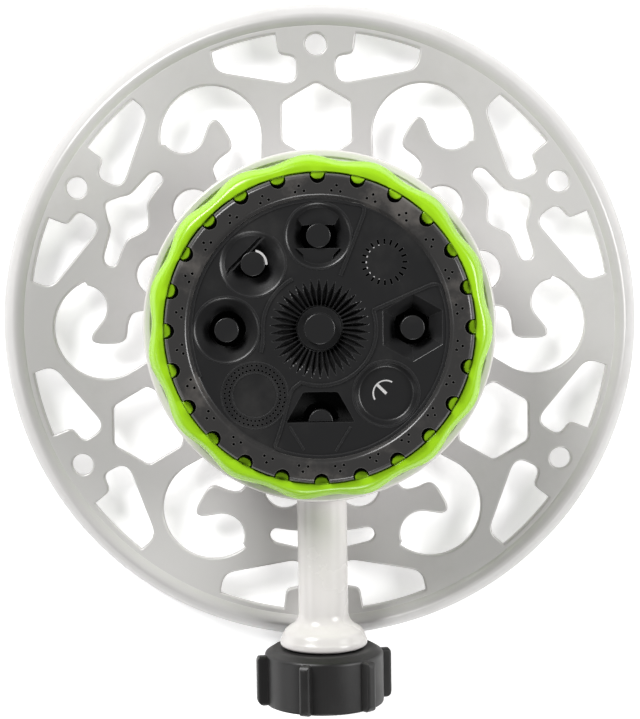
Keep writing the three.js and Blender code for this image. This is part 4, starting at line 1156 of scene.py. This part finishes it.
def ridge(path, closed=False, width=RIDGE_WIDTH, height=RIDGE_HEIGHT, base=FACE_TOP):
    """A raised line with rounded shoulders along a path."""
    half = width / 2
    section = [(-half, -0.3), (-half, 0.55 * height), (-0.62 * half, height), (0.62 * half, height),
               (half, 0.55 * height), (half, -0.3)]
    bm = bmesh.new()
    rings = []
    for i, (x, y) in enumerate(path):
        before = path[i - 1] if closed or i else path[i]
        after = path[(i + 1) % len(path)] if closed or i < len(path) - 1 else path[i]
        way = (Vector(after) - Vector(before)).normalized()
        rings.append([bm.verts.new((x - way.y * a, y + way.x * a, base + z)) for a, z in section])
    pairs = list(zip(rings, rings[1:])) + ([(rings[-1], rings[0])] if closed else [])
    for one, two in pairs:
        for k in range(len(section)):
            j = (k + 1) % len(section)
            bm.faces.new((one[k], one[j], two[j], two[k]))
    if not closed:
        bm.faces.new(rings[0])
        bm.faces.new(rings[-1][::-1])
    return solid("ridge", bm)


def make_ridges():
    path_a = [(6.2, 15.3)] + softened([(6.2, 15.3), (14.0, 35.0, 3.0), (9.5, 35.66)], False)[1:-1]
    path_a += arc(0, 0, RIDGE_ARC, 75, 201, 90)
    inner = softened([(-16.9, -6.4), (-16.3, -4.2, 1.5), (-16.3, 0)], False)[:-1]
    path_b = inner + arc(0, 0, INNER_ARC, 180, 118, 30)
    path_c = softened([(15.5, 5.2), (34.2, 13.2, 3.4), (35.9, 8.6)], False)[:-1]
    path_c += arc(0, 0, RIDGE_ARC, 12, -107, 90)
    path_c += softened([(-11.1, -35.3), (-13.4, -33.9, 1.0), (-11.4, -28.3, 1.5), (-8.4, -17.4, 1.6),
                        (-5.6, -15.3)], False)[1:]
    path_c += arc(0, 0, INNER_ARC, 252, 378, 80)
    return [ridge(path_a), ridge(path_b), ridge(path_c, closed=True)]


def make_small_features():
    circles = [on_outlet(ridge(circle(radius, 96), True, 0.4, 0.22), "south_west") for radius in (6.45, 9.6)]
    lips = [on_outlet(ridge(circle(9.55, 96), True, 0.5, 0.25), name)
            for name in ("north", "west", "south_east")]
    lips.append(on_outlet(ridge(arc(0, 0, 9.55, -142, 52, 64), False, 0.5, 0.25), "north_west"))
    ribs = [ridge([(-9, -28), (-5, -34.7)], False, 0.6, 0.3),
            ridge([(8.5, -28.3), (4.2, -35.3)], False, 0.6, 0.3)]
    upper = ledge([(-4.7, 3.0), (4.7, 3.0), (6.6, 6.4), (3.6, 8.6), (-3.6, 8.6), (-6.6, 6.4)], FACE_TOP - 1.4)
    lower = ledge([(-6.3, -3.6), (6.3, -3.6), (4.4, -5.4), (3.4, -8.9), (-3.4, -8.9), (-4.4, -5.4)],
                  FACE_TOP - 1.2)
    shelf = ledge([(-8.7, -3.0), (3.0, 8.7), *arc(0, 0, 9.4, 72, 198, 30)], FACE_TOP - 1.1)
    bar = on_outlet(ridge([(-8.1, -3.9), (3.9, 8.1)], False, 0.5, 0.35, FACE_TOP - 1.1), "north_west")
    return circles + lips + ribs + [on_outlet(upper, "north"), on_outlet(lower, "north"),
                                    on_outlet(shelf, "north_west"), bar]


def make_dial_plate():
    joined(dial, *make_ridges(), *make_small_features())
    piece(dial, "nozzle_plate", BLACK, "dial", "black_plastic", "dial_plate", sharp=28)
    paint_band(dial)


def paint_band(obj):
    """The raised edge band has a satin finish of its own, whose light patches are scuffs and painted sheen.
    """
    obj.data.materials.append(BAND_SCUFFS_AND_SHEEN)
    for face in obj.data.polygons:
        x, y, z = face.center
        from_axis = math.hypot(x, y - CENTRE_Y * MM) / MM
        if from_axis > BAND_INNER - 0.9 and z / MM > FACE_TOP + 0.05:
            face.material_index = 1


# On the satin band the light patch tint is scuffs and painted sheen.
BAND_SCUFFS_AND_SHEEN = finish("scuffed_satin_band_with_painted_sheen", (0.036, 0.035, 0.0345), (0.10, 0.092, 0.085), (0.16, 0.157, 0.152), (0.24, 0.40),
              1500, 0.03, patch=60.0)
make_dial_plate()

# %% [markdown]
# ## Under the plate
# The dial body is the pan behind the plate: a flat floor with a port under each outlet, and a pin in five of
# them, on a plate with passages for the water. The pins end just under the face. The centre cap fills the
# middle of the star. The springs and screws are out of sight, but the sprinkler can be taken apart, so they
# are made as what they are.

# %% The dial body and its pins
def make_dial_body():
    floor_top = DIAL_BOTTOM + 2.2
    flange = DIAL_RADIUS - 0.1
    flange_top = BAND_BOTTOM - 2.2
    socket_top = body_sockets_top()
    pan = lathe("pan", softened([
        (0, DIAL_BOTTOM), (flange, DIAL_BOTTOM, 0.5), (flange, flange_top, 0.3), (flange - 1.6, flange_top),
        (flange - 1.6, BAND_BOTTOM - 0.3), (flange - 3.6, BAND_BOTTOM - 0.3), (flange - 3.6, floor_top),
        (0, floor_top)], False), ROUND)
    for name in OUTLETS:
        socket = cylinder("socket", 8.8, DIAL_BOTTOM + 1, socket_top, 48)
        carved(pan, "UNION", on_outlet(socket, name))
    hub = cylinder("hub", 8.55, DIAL_BOTTOM + 1, DECK_TOP + 8.6, 64)
    carved(pan, "UNION", hub)
    port = cylinder("port", 5.2, 30, 50, 48)
    bore = cylinder("bore", 6.15, 30, 50, 64)
    dimple = lathe("dimple", [
        (0, 30), (2.8, 30), (2.6, DIAL_BOTTOM), (1.2, DIAL_BOTTOM + 1.3), (0, DIAL_BOTTOM + 1.3)], 24)
    recess = lathe("recess", [
        (0, 30), (2.82, 30), (2.82, DIAL_BOTTOM + 1.4), (1.5, DIAL_BOTTOM + 1.4), (1.5, 45), (0, 45)], 32)
    carved(pan, "DIFFERENCE", ring_of(port, 8, OUTLET_CIRCLE), bore, ring_of(dimple, 8, DETENT_CIRCLE, 15),
           ring_of(recess, 4, DIAL_SCREW_CIRCLE, DIAL_SCREW_TURN))
    joined(pan, *make_pins())
    piece(pan, "port_pan_with_pins", BLACK, "dial", "black_plastic", "dial_body")


def body_sockets_top():
    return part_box("dial_gasket")[0].z / MM - 0.3


def make_pins():
    pins = []
    top = FACE_TOP - 0.5
    low = DIAL_BOTTOM + 0.6
    for name in ("north", "east", "west", "north_west", "south"):
        pin = lathe("pin", softened([(0, low), (2.3, low), (2.3, top - 3.6), (PIN_RADIUS, top - 2.8),
                                     (PIN_RADIUS, top, 0.35), (0, top)], False), 64)
        if name == "south":
            half = block("half", -6, 6, -6, 0.1, CUP_BOTTOM + 2.2, FACE_TOP)
            carved(pin, "DIFFERENCE", half)
        pins.append(on_outlet(pin, name))
        plate = cylinder("swirl plate", 5.35, low, low + 1, 48)
        if name == "north_west":
            crescent = arc(0, 0, 5.0, -5, 85, 24) + arc(0, 0, 3.1, 85, -5, 24)
            passage = prism("passage", crescent, low - 1, low + 2)
        else:
            passage = ring_of(hole(0.45, low - 1), 6, 2.9)
        carved(plate, "DIFFERENCE", passage)
        pins.append(on_outlet(plate, name))
    return pins


make_dial_body()


# %% The centre cap
def make_cap():
    low, high = [corner.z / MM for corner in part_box("centre_cap")]
    floor = low + 1.6
    cap = lathe("cap", softened([
        (0, low), (3.1, low, 0.2), (3.1, floor), (6.3, floor), (6.3, floor + 0.4), (4.5, floor + 0.4),
        (4.5, high, 0.45), (0, high)], False), 96)
    piece(cap, "centre_button", BLACK, "dial", "black_plastic", "centre_cap")


make_cap()


def make_springs():
    for name, node, radius, wire, turns, body in (
        ("port_wire_spring", "port_spring", 6.4, 0.35, 2.0, "base"),
        ("detent_wire_spring", "detent_spring", 1.5, 0.25, 4.0, "base"),
    ):
        low, high = [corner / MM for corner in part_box(node)]
        middle = (low + high) / 2
        spring = wound(name, radius, wire, low.z, high.z, turns, STEEL)
        piece(moved(spring, middle.x, middle.y - CENTRE_Y), name, STEEL, body, "steel", node)
        if node == "port_spring":
            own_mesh(spring)


def screw(shank, head_low, head, tip, drive=0.45):
    """A screw that points up, with its domed head below."""
    wide = 2.1 * shank
    body = lathe("screw", softened([
        (0, head_low), (0.7 * wide, head_low, 0.3), (wide, head_low + 0.5 * head, 0.3),
        (wide, head_low + head), (shank, head_low + head), (shank, tip - shank), (0.3, tip), (0, tip)],
        False), 32)
    for turn in (0, 90):
        slot = moved(block("slot", -0.5 * wide, 0.5 * wide, -0.16 * shank, 0.16 * shank, head_low - 1,
                           head_low + drive * head), turn=turn)
        carved(body, "DIFFERENCE", slot)
    turns = (tip - head_low - head) / 1.3
    thread = wound("thread", shank, 0.13 * shank, head_low + head + 0.3, tip - shank, turns, STEEL)
    return joined(body, thread)


def make_screws():
    for name, first_node, count, radius, first, shank, head, body in (
        ("base_cross_screws", "base_screw_", 3, BASE_SCREW_CIRCLE, 90, 1.55, 2.0, "base"),
        ("dial_cross_screws", "dial_screw_", 4, DIAL_SCREW_CIRCLE, DIAL_SCREW_TURN, 1.05, 0.9, "dial"),
    ):
        low, high = [corner.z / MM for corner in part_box(first_node + "1")]
        one = screw(shank, low, head, high)
        nodes = [f"{first_node}{i + 1}" for i in range(count)]
        piece(ring_of(one, count, radius, first, STEEL), name, STEEL, body, "steel", *nodes)


make_springs()
make_screws()

# %% [markdown]
# ## Parts that keep their plain shape
# A flat washer, a gasket, a seal and a plunger are already right in the solid model. Nobody sees them
# unless the sprinkler is opened. They only get the same finishes as the pieces they touch.

# %% Finishes for the remaining nodes
def dress_remaining():
    plain = {"pivot_screw": STEEL, "pivot_washer": STEEL, "port_seal": RUBBER, "detent_plunger": BLACK,
             "dial_gasket": RUBBER}
    for name, material in plain.items():
        for slot in frame["nodes"][name].material_slots:
            slot.material = material
    return sorted(plain)


print("kept from the solid model:", dress_remaining())
